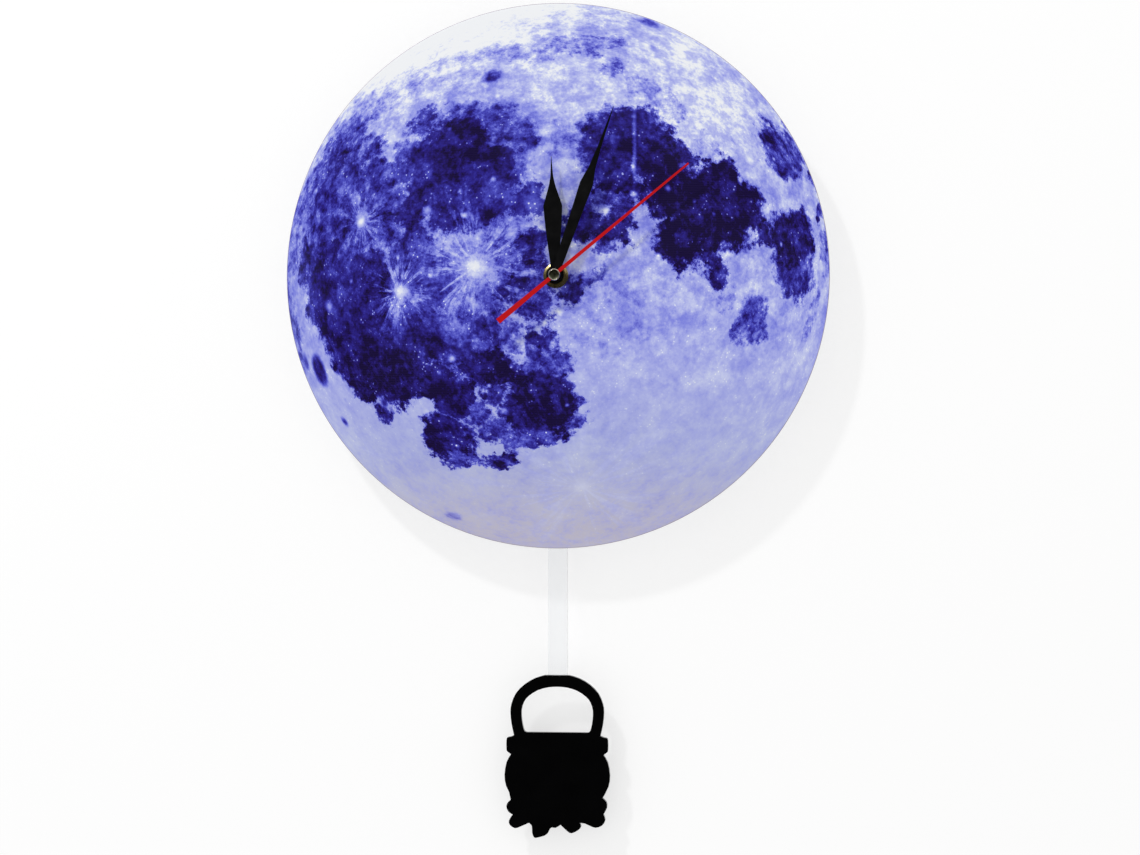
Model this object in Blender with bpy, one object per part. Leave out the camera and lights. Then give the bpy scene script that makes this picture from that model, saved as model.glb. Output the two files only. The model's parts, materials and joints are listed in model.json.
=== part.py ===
"""Moon-faced wall clock with a swinging pendulum, as separate pieces.

The dial faces -Y, +X is to the right as seen from the front, and +Z is up.
The wall is the plane y = 0, and the hands turn about the line x = z = 0.
Depths are counted forward from the wall: a face at depth d lies at y = -d.
Directions are clockwise from 12 o'clock, as seen from the front.
All sizes are in metres and all named angles in degrees.
"""

import math

import bmesh
import bpy
from mathutils import Vector
from mathutils.geometry import tessellate_polygon

# Gaps between neighbouring pieces
SEAT = 0.0003
SLIP = 0.00015
LAYER_GAP = 0.0004

# Dial and what clamps it
DIAL_DIAMETER = 0.300
DIAL_THICKNESS = 0.003
DIAL_CHAMFER = 0.0004
RUBBER_DIAMETER = 0.022
RUBBER_THICKNESS = 0.001
WASHER_DIAMETER = 0.0138
WASHER_THICKNESS = 0.0005
NUT_ACROSS_FLATS = 0.012
NUT_THICKNESS = 0.0025
NUT_CHAMFER = 0.0005
BUSH_DIAMETER = 0.008
BUSH_COLLAR = 0.010
BUSH_COLLAR_THICKNESS = 0.0006
BUSH_PROUD = 0.001
BUSH_CHAMFER = 0.0003

# Hands
HOUR_DIRECTION = -1.8
MINUTE_DIRECTION = 19.4
SECOND_DIRECTION = 50.6
HOUR_LENGTH = 0.0652
MINUTE_LENGTH = 0.0976
SECOND_LENGTH = 0.0950
SECOND_TAIL = 0.0400
HAND_THICKNESS = 0.0005
HAND_CLEARANCE = 0.0009
HAND_HUB_DEPTH = 0.0012
HOUR_HUB_DIAMETER = 0.0096
MINUTE_HUB_DIAMETER = 0.0084
SECOND_HUB_DIAMETER = 0.0052
CAP_DIAMETER = 0.0066
CAP_TUBE_DIAMETER = 0.0022
CAP_HEIGHT = 0.0014
CAP_ROUNDING = 0.0004
CAP_DISH_DIAMETER = 0.0046
CAP_DISH_DEPTH = 0.0004
COLLAR_WALL = 0.001

# Blades from the tip: half width and distance from the axis, as shares of the hand's length
HOUR_POINT = [(0.0015, 1.0), (0.0092, 0.859)]
HOUR_SWELL = [(0.0123, 0.827), (0.0261, 0.759), (0.046, 0.692), (0.0675, 0.624), (0.08, 0.583)]
HOUR_FOOT = [(0.08, 0.583), (0.0675, 0.399), (0.0353, 0.092)]
MINUTE_POINT = [(0.001, 1.0), (0.0061, 0.889), (0.0102, 0.755), (0.0143, 0.71)]
MINUTE_SWELL = [(0.0195, 0.635), (0.0225, 0.62), (0.0307, 0.579), (0.0374, 0.538)]
MINUTE_FOOT = [(0.0374, 0.538), (0.0328, 0.41), (0.0236, 0.0615)]
SECOND_BLADE = [(0.0058, 1.0), (0.0105, 0.126)]
SECOND_COUNTER = [(0.0275, 0.15), (0.0413, 1.0)]

# Pipes and arbors on the hand axis
HOUR_PIPE_DIAMETER = 0.005
MINUTE_PIPE_DIAMETER = 0.003
ARBOR_DIAMETER = 0.001
ROTOR_ARBOR_DIAMETER = 0.0007
STUD_DIAMETER = 0.0012

# Movement case
WALL = 0.001
BACK_WALL = 0.0012
FRONT_PLATE_THICKNESS = 0.0018
CASE_CORNER = 0.003
INNER_CORNER = 0.0015
ROOM_ABOVE = 0.027
ROOM_BELOW = 0.0107
DRIVE_WIDTH = 0.040
DRIVE_DROP = 0.036
MOUTH_WIDTH = 0.026
CORNER_POST_DIAMETER = 0.0044
CORNER_POST_INSET = 0.0027
PEG_DIAMETER = 0.0018
PEG_LENGTH = 0.003
BEARING_DIAMETER = 0.0032
BEARING_HEIGHT = 0.001
REAR_RECESS = 0.0004
POST_DIAMETER = 0.0036
POST_INSET = 0.0045
POST_LOW = -0.0082
POST_HIGH = 0.0135
PLATE_PEG_DIAMETER = 0.0016
STANDOFF_DIAMETER = 0.003
STANDOFF_INSET = 0.002

# Wheel layers, from the front plate back toward the wall
MOTION_WHEEL = 0.0009
CLUTCH_THICKNESS = 0.0004
TRAIN_WHEEL = 0.0008
MIDDLE_PLATE_THICKNESS = 0.001
MAGNET_LENGTH = 0.0022

CLUTCH_DIAMETER = 0.008
CLUTCH_ARM = 0.0018

# Lightening holes, as shares of a wheel's pitch diameter
HOLE_CIRCLE = 0.62
HOLE_SHARE = 0.17

# Teeth of the going train, from the rotor to the centre wheel
ROTOR_TEETH = 6
INTERMEDIATE_TEETH = 36
INTERMEDIATE_PINION = 6
SECOND_TEETH = 30
SECOND_PINION = 6
THIRD_TEETH = 45
THIRD_PINION = 6
CENTRE_TEETH = 48

# Teeth of the motion work, from the cannon pinion to the hour wheel
CANNON_TEETH = 10
MINUTE_TEETH = 30
MINUTE_PINION = 6
HOUR_TEETH = 24

# Centre distances and directions of the arbors
ROTOR_DISTANCE = 0.00616
INTERMEDIATE_DISTANCE = 0.0072
THIRD_DISTANCE = 0.009
MOTION_DISTANCE = 0.008
ROTOR_DIRECTION = -20.0
INTERMEDIATE_DIRECTION = -50.0
THIRD_DIRECTION = 60.0
MINUTE_WHEEL_DIRECTION = -110.0
KNOB_DIRECTION = -75.0

# Tooth form, in modules
PRESSURE_ANGLE = 28.0
ADDENDUM = 0.8
DEDENDUM = 1.05
BACKLASH = 0.10

# Stepping motor
MAGNET_DIAMETER = 0.0032
STATOR_GAP = 0.0005
STATOR_NECK = 0.0005
STATOR_THICKNESS = 0.0008
STATOR_FOOT = 0.004
STATOR_CORNER = 0.0004
CORE_HEIGHT = 0.003
COIL_RISE = 0.0096
BOBBIN_INSET = 0.0015
BOBBIN_FLANGE = 0.0072
FLANGE_THICKNESS = 0.0008
BOBBIN_WALL = 0.0005
BOBBIN_CORNER = 0.001
WINDING_DIAMETER = 0.0064
MOTOR_POST_DIAMETER = 0.0036
SCREW_DIAMETER = 0.0014
SCREW_HEAD_DIAMETER = 0.0028
SCREW_HEAD_HEIGHT = 0.0008

# Hand-setting knob
KNOB_DIAMETER = 0.0106
KNOB_THICKNESS = 0.0022
KNOB_SHAFT_DIAMETER = 0.0024
KNOB_GRIPS = 12
KNOB_GRIP_DEPTH = 0.0003
RECESS_CLEARANCE = 0.0005

# Power cell and its contacts
CELL_DIAMETER = 0.0145
CELL_LENGTH = 0.0505
NUB_DIAMETER = 0.0055
NUB_HEIGHT = 0.0012
CELL_ROUNDING = 0.0004
CONTACT_THICKNESS = 0.0004
CONTACT_LENGTH = 0.0115
CONTACT_TAIL = 0.002
CONTACT_RISE = 0.0170
CONTACT_FOOT = 0.0095
SPRING_LENGTH = 0.0012
SPRING_WIRE = 0.0004
SPRING_TURNS = 2
SPRING_DIAMETER = 0.0084
SPRING_TIP_DIAMETER = 0.0048
SPRING_STEPS = 10

# Clock circuit board
BOARD_INSET = 0.006
BOARD_WIDTH = 0.013
BOARD_BOTTOM = 0.0145
BOARD_HEIGHT = 0.0115
BOARD_THICKNESS = 0.001
BOARD_STANDOFF = 0.0012
CHIP_DIAMETER = 0.0056
CHIP_SHOULDER = 0.0048
CHIP_TOP = 0.0022
CHIP_HEIGHT = 0.0012
CHIP_DROP = 0.0015
CRYSTAL_DIAMETER = 0.0018
CRYSTAL_LENGTH = 0.006

# Pendulum drive and lever
PIVOT_BELOW_CASE = 0.007
PIN_DIAMETER = 0.002
PIVOT_BOSS_DIAMETER = 0.0044
COIL_STUD_DIAMETER = 0.003
LEVER_THICKNESS = 0.0016
LEVER_HUB_DIAMETER = 0.0064
LEVER_WIDTH = 0.0036
LEVER_END_DIAMETER = 0.0052
MAGNET_DROP = 0.019
SWING_MAGNET_DIAMETER = 0.007
SWING_MAGNET_THICKNESS = 0.002
MAGNET_RIM = 0.0015
MAGNET_CHAMFER = 0.0003
DRIVE_COIL_DIAMETER = 0.012
DRIVE_FLANGE_DIAMETER = 0.013
DRIVE_CORE_DIAMETER = 0.005
DRIVE_BOBBIN_THICKNESS = 0.0034
DRIVE_GAP = 0.0006
DRIVE_BOARD_WIDTH = 0.0085
DRIVE_BOARD_HEIGHT = 0.020
DRIVE_CHIP = 0.0035

# Pendulum rod and its hook
ROD_WIDTH = 0.0107
ROD_THICKNESS = 0.003
ROD_CORNER = 0.002
ROD_BELOW_CASE = 0.004
HOOK_BELOW_ROD_TOP = 0.0055
HOOK_DIAMETER = 0.0032
HOOK_SLACK = 0.0006
HOOK_LIP = 0.001
HOOK_LIP_WIDTH = 0.0022
HOOK_LIP_THICKNESS = 0.0012

# Pendulum bob, whose outline is a cauldron over its fire
BOB_TOP = -0.2205
BOB_THICKNESS = 0.003
BOB_HANDLE_BAR = 0.0064

# Hanger
HANGER_THICKNESS = 0.0016
HANGER_STANDOFF = 0.0016
HANGER_WIDTH = 0.020
HANGER_HEIGHT = 0.0125
TONGUE_WIDTH = 0.012
TONGUE_LENGTH = 0.0023
SOCKET_WALL = 0.0012
SOCKET_FLOOR = 0.0005
NAIL_HOLE = 0.0075
NAIL_LEVEL = 0.0062
HANGER_SHOULDER = 0.006
HANGER_CORNER = 0.0012
HANGER_ROUNDING = 0.003

# Facets
ROUND = 20
SMALL_ROUND = 8
DIAL_ROUND = 80

MILLIMETRE = 0.001
SHARP_ANGLE = 35.0


# Outlines: closed lists of (x, z) points

def polar(distance, direction):
    """A point at a distance from the hand axis, in a clockwise direction in degrees."""
    angle = math.radians(direction)
    return (distance * math.sin(angle), distance * math.cos(angle))


def next_to(point, distance, direction):
    """A point at a distance from another one, in a clockwise direction in degrees."""
    x, z = polar(distance, direction)
    return (point[0] + x, point[1] + z)


def circle(diameter, centre=(0.0, 0.0), count=ROUND):
    points = []
    for index in range(count):
        angle = 2 * math.pi * index / count
        points.append((centre[0] + diameter / 2 * math.cos(angle),
                       centre[1] + diameter / 2 * math.sin(angle)))
    return points


def filleted(corners, steps=4):
    """A polygon from (x, z, radius) corners, each rounded by its radius."""
    points = []
    for index, (x, z, radius) in enumerate(corners):
        corner = Vector((x, z))
        if radius == 0:
            points.append((x, z))
            continue
        before = Vector(corners[index - 1][:2]) - corner
        after = Vector(corners[(index + 1) % len(corners)][:2]) - corner
        before.normalize()
        after.normalize()
        half = before.angle(after) / 2
        centre = corner + (before + after).normalized() * (radius / math.sin(half))
        start = corner + before * (radius / math.tan(half)) - centre
        turn = math.pi - 2 * half
        if before.x * after.y - before.y * after.x > 0:
            turn = -turn
        for step in range(steps + 1):
            angle = turn * step / steps
            points.append((centre.x + start.x * math.cos(angle) - start.y * math.sin(angle),
                           centre.y + start.x * math.sin(angle) + start.y * math.cos(angle)))
    return points


def rectangle(left, right, bottom, top, radius=0.0, steps=3):
    corners = [(left, bottom, radius), (right, bottom, radius),
               (right, top, radius), (left, top, radius)]
    return filleted(corners, steps)


def smooth_run(points, steps=3):
    """Points along a smooth curve through the given ones, without the last."""
    padded = [points[0]] + list(points) + [points[-1]]
    run = []
    for index in range(1, len(padded) - 2):
        before, here, there, after = (Vector(point) for point in padded[index - 1:index + 3])
        for step in range(steps):
            t = step / steps
            place = (2 * here + (there - before) * t
                     + (2 * before - 5 * here + 4 * there - after) * t ** 2
                     + (3 * here - before - 3 * there + after) * t ** 3) / 2
            run.append((place.x, place.y))
    return run


def mirrored(right_side):
    """Close an outline whose right side runs from its top to its bottom."""
    left_side = [(-x, z) for x, z in reversed(right_side) if abs(x) > MILLIMETRE / 1000]
    return right_side + left_side


def beaded_bar(beads, half_width, steps=6):
    """A bar of discs in a line, each (z, radius), joined by straight stretches."""
    right_side = []
    for index, (z, radius) in enumerate(beads):
        lean = math.asin(half_width / radius)
        start = lean if index > 0 else 0.0
        end = math.pi - lean if index < len(beads) - 1 else math.pi
        for step in range(steps + 1):
            angle = start + (end - start) * step / steps
            right_side.append((radius * math.sin(angle), z + radius * math.cos(angle)))
    return mirrored(right_side)


def hand_outline(hub_diameter, blade, tail=(), steps=10):
    """A hand pointing up, from (half width, distance) points of its blade, tip first, and its tail."""
    radius = hub_diameter / 2
    start = math.asin(blade[-1][0] / radius)
    end = math.pi - math.asin(tail[0][0] / radius) if tail else math.pi
    right_side = list(blade)
    for step in range(steps + 1):
        angle = start + (end - start) * step / steps
        right_side.append((radius * math.sin(angle), radius * math.cos(angle)))
    right_side += [(half_width, -distance) for half_width, distance in tail]
    return mirrored(right_side)


def lobed(diameter, depth, lobes, steps=4):
    """A round outline whose edge waves in and out by a depth."""
    points = []
    for index in range(lobes * steps):
        angle = 2 * math.pi * index / (lobes * steps)
        radius = diameter / 2 - depth * (1 - math.cos(lobes * angle)) / 2
        points.append((radius * math.sin(angle), radius * math.cos(angle)))
    return points


def gear_outline(teeth, pitch_diameter):
    """Involute teeth with straight flanks, which run from the root circle to the tip circle."""
    module = pitch_diameter / teeth
    pressure = math.radians(PRESSURE_ANGLE)
    base = pitch_diameter / 2 * math.cos(pressure)
    tip = pitch_diameter / 2 + ADDENDUM * module
    root = pitch_diameter / 2 - DEDENDUM * module
    half_tooth = math.pi / (2 * teeth) * (1 - BACKLASH)

    def half_angle(radius):
        local = math.acos(min(1.0, base / radius))
        return half_tooth + math.tan(pressure) - pressure - math.tan(local) + local

    points = []
    for tooth in range(teeth):
        middle = 2 * math.pi * tooth / teeth
        for side, radius in ((-1, root), (-1, tip), (1, tip), (1, root)):
            angle = middle + side * half_angle(radius)
            points.append((radius * math.sin(angle), radius * math.cos(angle)))
    return points


def meshing_turn(teeth, turn, other_teeth, direction):
    """The turn, in radians, that meshes a second gear lying in a direction from the first."""
    direction = math.radians(direction)
    fraction = ((direction - turn) * teeth / (2 * math.pi)) % 1
    return direction + math.pi - (0.5 - fraction) * 2 * math.pi / other_teeth


# Solids: meshes made of closed loops of vertices

def add_loop(mesh, outline, depth):
    return [mesh.verts.new((x, -depth, z)) for x, z in outline]


def add_wall(mesh, loop, other):
    for index, vertex in enumerate(loop):
        following = (index + 1) % len(loop)
        mesh.faces.new((vertex, loop[following], other[following], other[index]))


def add_flat(mesh, loops):
    """Fill between an outer loop and the loops inside it; the filler works in millimetres."""
    vertices = [vertex for loop in loops for vertex in loop]
    flat = [[Vector((vertex.co.x, vertex.co.z, 0.0)) / MILLIMETRE for vertex in loop] for loop in loops]
    faces = [mesh.faces.new([vertices[index] for index in triangle])
             for triangle in tessellate_polygon(flat)]
    inner_edges = {edge for face in faces for edge in face.edges
                   if sum(other in faces for other in edge.link_faces) == 2}
    bmesh.ops.beautify_fill(mesh, faces=faces, edges=list(inner_edges), method='ANGLE')


def finish(name, mesh, look, place=(0.0, 0.0), depth=0.0, turn=0.0, along_x=False, parent=None):
    """Close the mesh and put its object at a place (x, z), turned clockwise in radians.

    A piece that lies along x has its own depths counted toward +X from its place.
    """
    bmesh.ops.remove_doubles(mesh, verts=mesh.verts, dist=MILLIMETRE / 10000)
    bmesh.ops.recalc_face_normals(mesh, faces=mesh.faces)
    data = bpy.data.meshes.new(name)
    mesh.to_mesh(data)
    mesh.free()
    data.shade_smooth()
    data.set_sharp_from_angle(angle=math.radians(SHARP_ANGLE))
    item = bpy.data.objects.new(name, data)
    bpy.context.collection.objects.link(item)
    item.location = (place[0], -depth, place[1])
    item.rotation_euler = (0.0, 0.0, math.pi / 2) if along_x else (0.0, turn, 0.0)
    if parent:
        item.parent = parent
        item.location = item.location - parent.location
    data.materials.append(make_material(name, *look))
    return item


def stacked(name, layers, look, bore=None, **placing):
    """Flat layers one upon another, each (back, front, outline, holes), with a bore through all."""
    mesh = bmesh.new()
    backs = [add_loop(mesh, outline, back) for back, front, outline, holes in layers]
    fronts = [add_loop(mesh, outline, front) for back, front, outline, holes in layers]
    back_holes = []
    front_holes = []
    for back, front, outline, holes in layers:
        back_holes.append([add_loop(mesh, hole, back) for hole in holes])
        front_holes.append([add_loop(mesh, hole, front) for hole in holes])
    for index in range(len(layers)):
        add_wall(mesh, backs[index], fronts[index])
        for near, far in zip(back_holes[index], front_holes[index]):
            add_wall(mesh, near, far)
    for index in range(len(layers) - 1):
        here = max(abs(z) for x, z in layers[index][2])
        there = max(abs(z) for x, z in layers[index + 1][2])
        if here > there:
            add_flat(mesh, [fronts[index], backs[index + 1]] + front_holes[index])
        else:
            add_flat(mesh, [backs[index + 1], fronts[index]] + back_holes[index + 1])
    ends = [[backs[0]] + back_holes[0], [fronts[-1]] + front_holes[-1]]
    if bore:
        bores = [add_loop(mesh, bore, layers[0][0]), add_loop(mesh, bore, layers[-1][1])]
        add_wall(mesh, bores[0], bores[1])
        ends[0].append(bores[0])
        ends[1].append(bores[1])
    for end in ends:
        add_flat(mesh, end)
    return finish(name, mesh, look, **placing)


def add_face(mesh, outline, depth, features):
    """A flat face with features raised from it or sunk into it; gives back its outer loop."""
    loops = [add_loop(mesh, outline, depth)]
    for shape, end, on_end in features:
        start_loop = add_loop(mesh, shape, depth)
        if on_end is not None:
            add_wall(mesh, start_loop, add_face(mesh, shape, end, on_end))
        elif end is not None:
            add_wall(mesh, start_loop, add_loop(mesh, shape, end))
        loops.append(start_loop)
    add_flat(mesh, loops)
    return loops[0]


def raised(outline, end, on_end=()):
    """A boss or a pocket: an outline whose flat end lies at a depth and carries more features."""
    return (outline, end, on_end)


def opening(outline, start, end):
    """A hole right through, as the feature of its front face and the feature of its back face."""
    return (outline, end, None), (outline, None, None)


def carved(name, outline, back, front, look, on_back=(), on_front=(), **placing):
    """A plate between two depths, with features on its back face and on its front face."""
    mesh = bmesh.new()
    add_wall(mesh, add_face(mesh, outline, back, on_back), add_face(mesh, outline, front, on_front))
    return finish(name, mesh, look, **placing)


def lofted(name, rings, look, ring_shaped=False, **placing):
    """Quads between rings, each (depth, outline); a ring-shaped piece joins its last to its first."""
    mesh = bmesh.new()
    loops = [add_loop(mesh, outline, depth) for depth, outline in rings]
    for loop, other in zip(loops, loops[1:]):
        add_wall(mesh, loop, other)
    if ring_shaped:
        add_wall(mesh, loops[-1], loops[0])
    else:
        mesh.faces.new(loops[0])
        mesh.faces.new(loops[-1])
    return finish(name, mesh, look, **placing)


def turned(name, profile, look, count=ROUND, ring_shaped=False, **placing):
    """A body of revolution about its depth axis, from (depth, diameter) steps."""
    rings = [(depth, circle(diameter, count=count)) for depth, diameter in profile]
    return lofted(name, rings, look, ring_shaped, **placing)


def make_material(name, colour, roughness=0.5, metallic=0.0):
    material = bpy.data.materials.new(name)
    material.use_nodes = True
    shader = material.node_tree.nodes["Principled BSDF"]
    shader.inputs["Base Color"].default_value = (*colour, 1.0)
    shader.inputs["Roughness"].default_value = roughness
    shader.inputs["Metallic"].default_value = metallic
    return material


def reshape(item, name, boxes, operation):
    """Cut boxes, each (left, right, back, front, bottom, top), out of an item, or join them to it."""
    mesh = bmesh.new()
    for left, right, back, front, bottom, top in boxes:
        loops = [add_loop(mesh, rectangle(left, right, bottom, top), depth) for depth in (back, front)]
        add_wall(mesh, *loops)
        for loop in loops:
            mesh.faces.new(loop)
    bmesh.ops.recalc_face_normals(mesh, faces=mesh.faces)
    data = bpy.data.meshes.new(name)
    mesh.to_mesh(data)
    mesh.free()
    cutter = bpy.data.objects.new(name, data)
    bpy.context.collection.objects.link(cutter)
    cutter.hide_render = True
    cutter.display_type = 'WIRE'
    boolean = item.modifiers.new(name, 'BOOLEAN')
    boolean.operation = operation
    boolean.solver = 'EXACT'
    boolean.object = cutter


def empty_at(name, place):
    holder = bpy.data.objects.new(name, None)
    bpy.context.collection.objects.link(holder)
    holder.location = (place[0], 0.0, place[1])
    return holder


# Looks: (colour, roughness, metallic)

WHITE_PLASTIC = ((0.55, 0.55, 0.54), 0.45)
BLACK_PLASTIC = ((0.02, 0.02, 0.022), 0.5)
ACETAL = ((0.8, 0.8, 0.76), 0.4)
GREEN_ACETAL = ((0.25, 0.5, 0.35), 0.4)
BRASS = ((0.75, 0.55, 0.25), 0.3, 1.0)
STEEL = ((0.6, 0.6, 0.6), 0.3, 1.0)
NICKEL = ((0.7, 0.68, 0.62), 0.2, 1.0)
COPPER = ((0.7, 0.3, 0.15), 0.4, 1.0)
RUBBER = ((0.02, 0.02, 0.02), 0.8)
BLACK_PAINT = ((0.01, 0.01, 0.01), 0.4)
RED_PAINT = ((0.45, 0.01, 0.02), 0.35)
BLACK_ACRYLIC = ((0.004, 0.004, 0.004), 0.1)
CLEAR_ACRYLIC = ((0.9, 0.9, 0.9), 0.05)
MOON_PRINT = ((0.2, 0.2, 0.55), 0.15)
BOARD_GREEN = ((0.03, 0.15, 0.06), 0.5)
CELL_WRAP = ((0.1, 0.1, 0.12), 0.35)
FERRITE = ((0.08, 0.08, 0.085), 0.6)


# Places in the case, worked out from the sizes

CELL_ROOM = CELL_LENGTH + SPRING_LENGTH + 2 * CONTACT_THICKNESS + 5 * SEAT
INNER_HALF = CELL_ROOM / 2
CASE_HALF = INNER_HALF + WALL
CASE_TOP = ROOM_ABOVE + WALL
BAY_TOP = -(ROOM_BELOW + WALL)
BAY_BOTTOM = BAY_TOP - CELL_DIAMETER - 2 * SEAT
CASE_BOTTOM = BAY_BOTTOM - WALL
CELL_LEVEL = (BAY_TOP + BAY_BOTTOM) / 2
DRIVE_HALF = DRIVE_WIDTH / 2
DRIVE_TOP = CASE_BOTTOM - INNER_CORNER
DRIVE_BOTTOM = CASE_BOTTOM - DRIVE_DROP
PIVOT = (0.0, CASE_BOTTOM - PIVOT_BELOW_CASE)
SWING_MAGNET = (0.0, PIVOT[1] - MAGNET_DROP)

# Depths of the wheel layers, from the front plate back

TRAIN_LAYERS = (
    ("hour", MOTION_WHEEL),
    ("minute", MOTION_WHEEL),
    ("clutch", CLUTCH_THICKNESS),
    ("centre", TRAIN_WHEEL),
    ("plate", MIDDLE_PLATE_THICKNESS),
    ("third", TRAIN_WHEEL),
    ("second", TRAIN_WHEEL),
    ("intermediate", TRAIN_WHEEL),
    ("magnet", MAGNET_LENGTH),
)


def train_depth():
    wheels = sum(thickness + LAYER_GAP for name, thickness in TRAIN_LAYERS)
    return BACK_WALL + BEARING_HEIGHT + LAYER_GAP + wheels


def layer_depths(front):
    """The (back, front) depths of each layer, counted back from the inside of the front plate."""
    depths = {}
    for name, thickness in TRAIN_LAYERS:
        front -= LAYER_GAP
        depths[name] = (front - thickness, front)
        front -= thickness
    return depths


PLATE_BACK = max(REAR_RECESS + CELL_DIAMETER + SEAT, train_depth())
PLATE_FRONT = PLATE_BACK + FRONT_PLATE_THICKNESS
CASE_FRONT = PLATE_BACK - SEAT
LAYER = layer_depths(PLATE_BACK)
ARBOR_REAR = BACK_WALL + SEAT
ARBOR_FRONT = LAYER["plate"][1] - LAYER_GAP / 4
CELL_DEPTH = PLATE_BACK - SEAT - CELL_DIAMETER / 2

# Depths in front of the case

RUBBER_BACK = PLATE_FRONT + SEAT
DIAL_BACK = RUBBER_BACK + RUBBER_THICKNESS + SEAT
DIAL_FRONT = DIAL_BACK + DIAL_THICKNESS
WASHER_BACK = DIAL_FRONT + SEAT
NUT_BACK = WASHER_BACK + WASHER_THICKNESS + SEAT
NUT_FRONT = NUT_BACK + NUT_THICKNESS
BUSH_FRONT = NUT_FRONT + BUSH_PROUD
HOUR_BACK = BUSH_FRONT + HAND_CLEARANCE
HOUR_HUB_FRONT = HOUR_BACK + HAND_HUB_DEPTH
MINUTE_BACK = HOUR_HUB_FRONT + HAND_CLEARANCE
MINUTE_HUB_FRONT = MINUTE_BACK + HAND_HUB_DEPTH
SECOND_BACK = MINUTE_HUB_FRONT + HAND_CLEARANCE
SECOND_FRONT = SECOND_BACK + HAND_THICKNESS

# Places of the arbors, as seen from the front

INTERMEDIATE_PLACE = polar(INTERMEDIATE_DISTANCE, INTERMEDIATE_DIRECTION)
ROTOR_PLACE = next_to(INTERMEDIATE_PLACE, ROTOR_DISTANCE, ROTOR_DIRECTION)
THIRD_PLACE = polar(THIRD_DISTANCE, THIRD_DIRECTION)
MINUTE_PLACE = polar(MOTION_DISTANCE, MINUTE_WHEEL_DIRECTION)
KNOB_PLACE = next_to(MINUTE_PLACE, MOTION_DISTANCE, KNOB_DIRECTION)

# Pitch diameters of each meshing pair


def pitch_diameters(distance, teeth, other_teeth):
    module = 2 * distance / (teeth + other_teeth)
    return module * teeth, module * other_teeth


ROTOR_PITCH, INTERMEDIATE_PITCH = pitch_diameters(ROTOR_DISTANCE, ROTOR_TEETH, INTERMEDIATE_TEETH)
INTERMEDIATE_PINION_PITCH, SECOND_PITCH = pitch_diameters(
    INTERMEDIATE_DISTANCE, INTERMEDIATE_PINION, SECOND_TEETH)
SECOND_PINION_PITCH, THIRD_PITCH = pitch_diameters(THIRD_DISTANCE, SECOND_PINION, THIRD_TEETH)
THIRD_PINION_PITCH, CENTRE_PITCH = pitch_diameters(THIRD_DISTANCE, THIRD_PINION, CENTRE_TEETH)
CANNON_PITCH, MINUTE_PITCH = pitch_diameters(MOTION_DISTANCE, CANNON_TEETH, MINUTE_TEETH)
MINUTE_PINION_PITCH, HOUR_PITCH = pitch_diameters(MOTION_DISTANCE, MINUTE_PINION, HOUR_TEETH)

# Turns at which the teeth mesh, from the second wheel and the cannon pinion outward

INTERMEDIATE_TURN = meshing_turn(SECOND_TEETH, 0.0, INTERMEDIATE_PINION, INTERMEDIATE_DIRECTION)
ROTOR_TURN = meshing_turn(INTERMEDIATE_TEETH, INTERMEDIATE_TURN, ROTOR_TEETH, ROTOR_DIRECTION)
THIRD_TURN = meshing_turn(SECOND_PINION, 0.0, THIRD_TEETH, THIRD_DIRECTION)
CENTRE_TURN = meshing_turn(THIRD_PINION, THIRD_TURN, CENTRE_TEETH, THIRD_DIRECTION + 180.0)
MINUTE_TURN = meshing_turn(CANNON_TEETH, 0.0, MINUTE_TEETH, MINUTE_WHEEL_DIRECTION)
HOUR_TURN = meshing_turn(MINUTE_PINION, MINUTE_TURN, HOUR_TEETH, MINUTE_WHEEL_DIRECTION + 180.0)
KNOB_TURN = meshing_turn(MINUTE_TEETH, MINUTE_TURN, CANNON_TEETH, KNOB_DIRECTION)

# Fixed points of the case

POST_X = INNER_HALF - POST_INSET
POST_PLACES = [(x, z) for x in (-POST_X, POST_X) for z in (POST_LOW, POST_HIGH)]
CORNER_X = INNER_HALF - CORNER_POST_INSET
CORNER_PLACES = [(-CORNER_X, ROOM_ABOVE - CORNER_POST_INSET), (CORNER_X, ROOM_ABOVE - CORNER_POST_INSET)]
LOW_CORNER_X = DRIVE_HALF - WALL - CORNER_POST_INSET
LOW_CORNER_PLACES = [(side * LOW_CORNER_X, DRIVE_BOTTOM + WALL + CORNER_POST_INSET) for side in (-1, 1)]

MAGNET_MIDDLE = sum(LAYER["magnet"]) / 2
STATOR_DEPTHS = (MAGNET_MIDDLE - STATOR_THICKNESS / 2, MAGNET_MIDDLE + STATOR_THICKNESS / 2)
STATOR_HOLE = MAGNET_DIAMETER + 2 * STATOR_GAP
STATOR_HALF_BAR = STATOR_HOLE / 2 + STATOR_NECK
CORE_BACK = STATOR_DEPTHS[1] + SEAT
CORE_FRONT = CORE_BACK + STATOR_THICKNESS
COIL_LEVEL = ROTOR_PLACE[1] + COIL_RISE
CORE_LENGTH = 2 * (POST_X - POST_DIAMETER / 2 - SLIP + ROTOR_PLACE[0])
BOBBIN_LENGTH = CORE_LENGTH - 2 * (STATOR_FOOT + BOBBIN_INSET)
MOTOR_SCREW_PLACES = [(ROTOR_PLACE[0] + side * (CORE_LENGTH - STATOR_FOOT) / 2, COIL_LEVEL)
                      for side in (-1, 1)]

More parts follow.
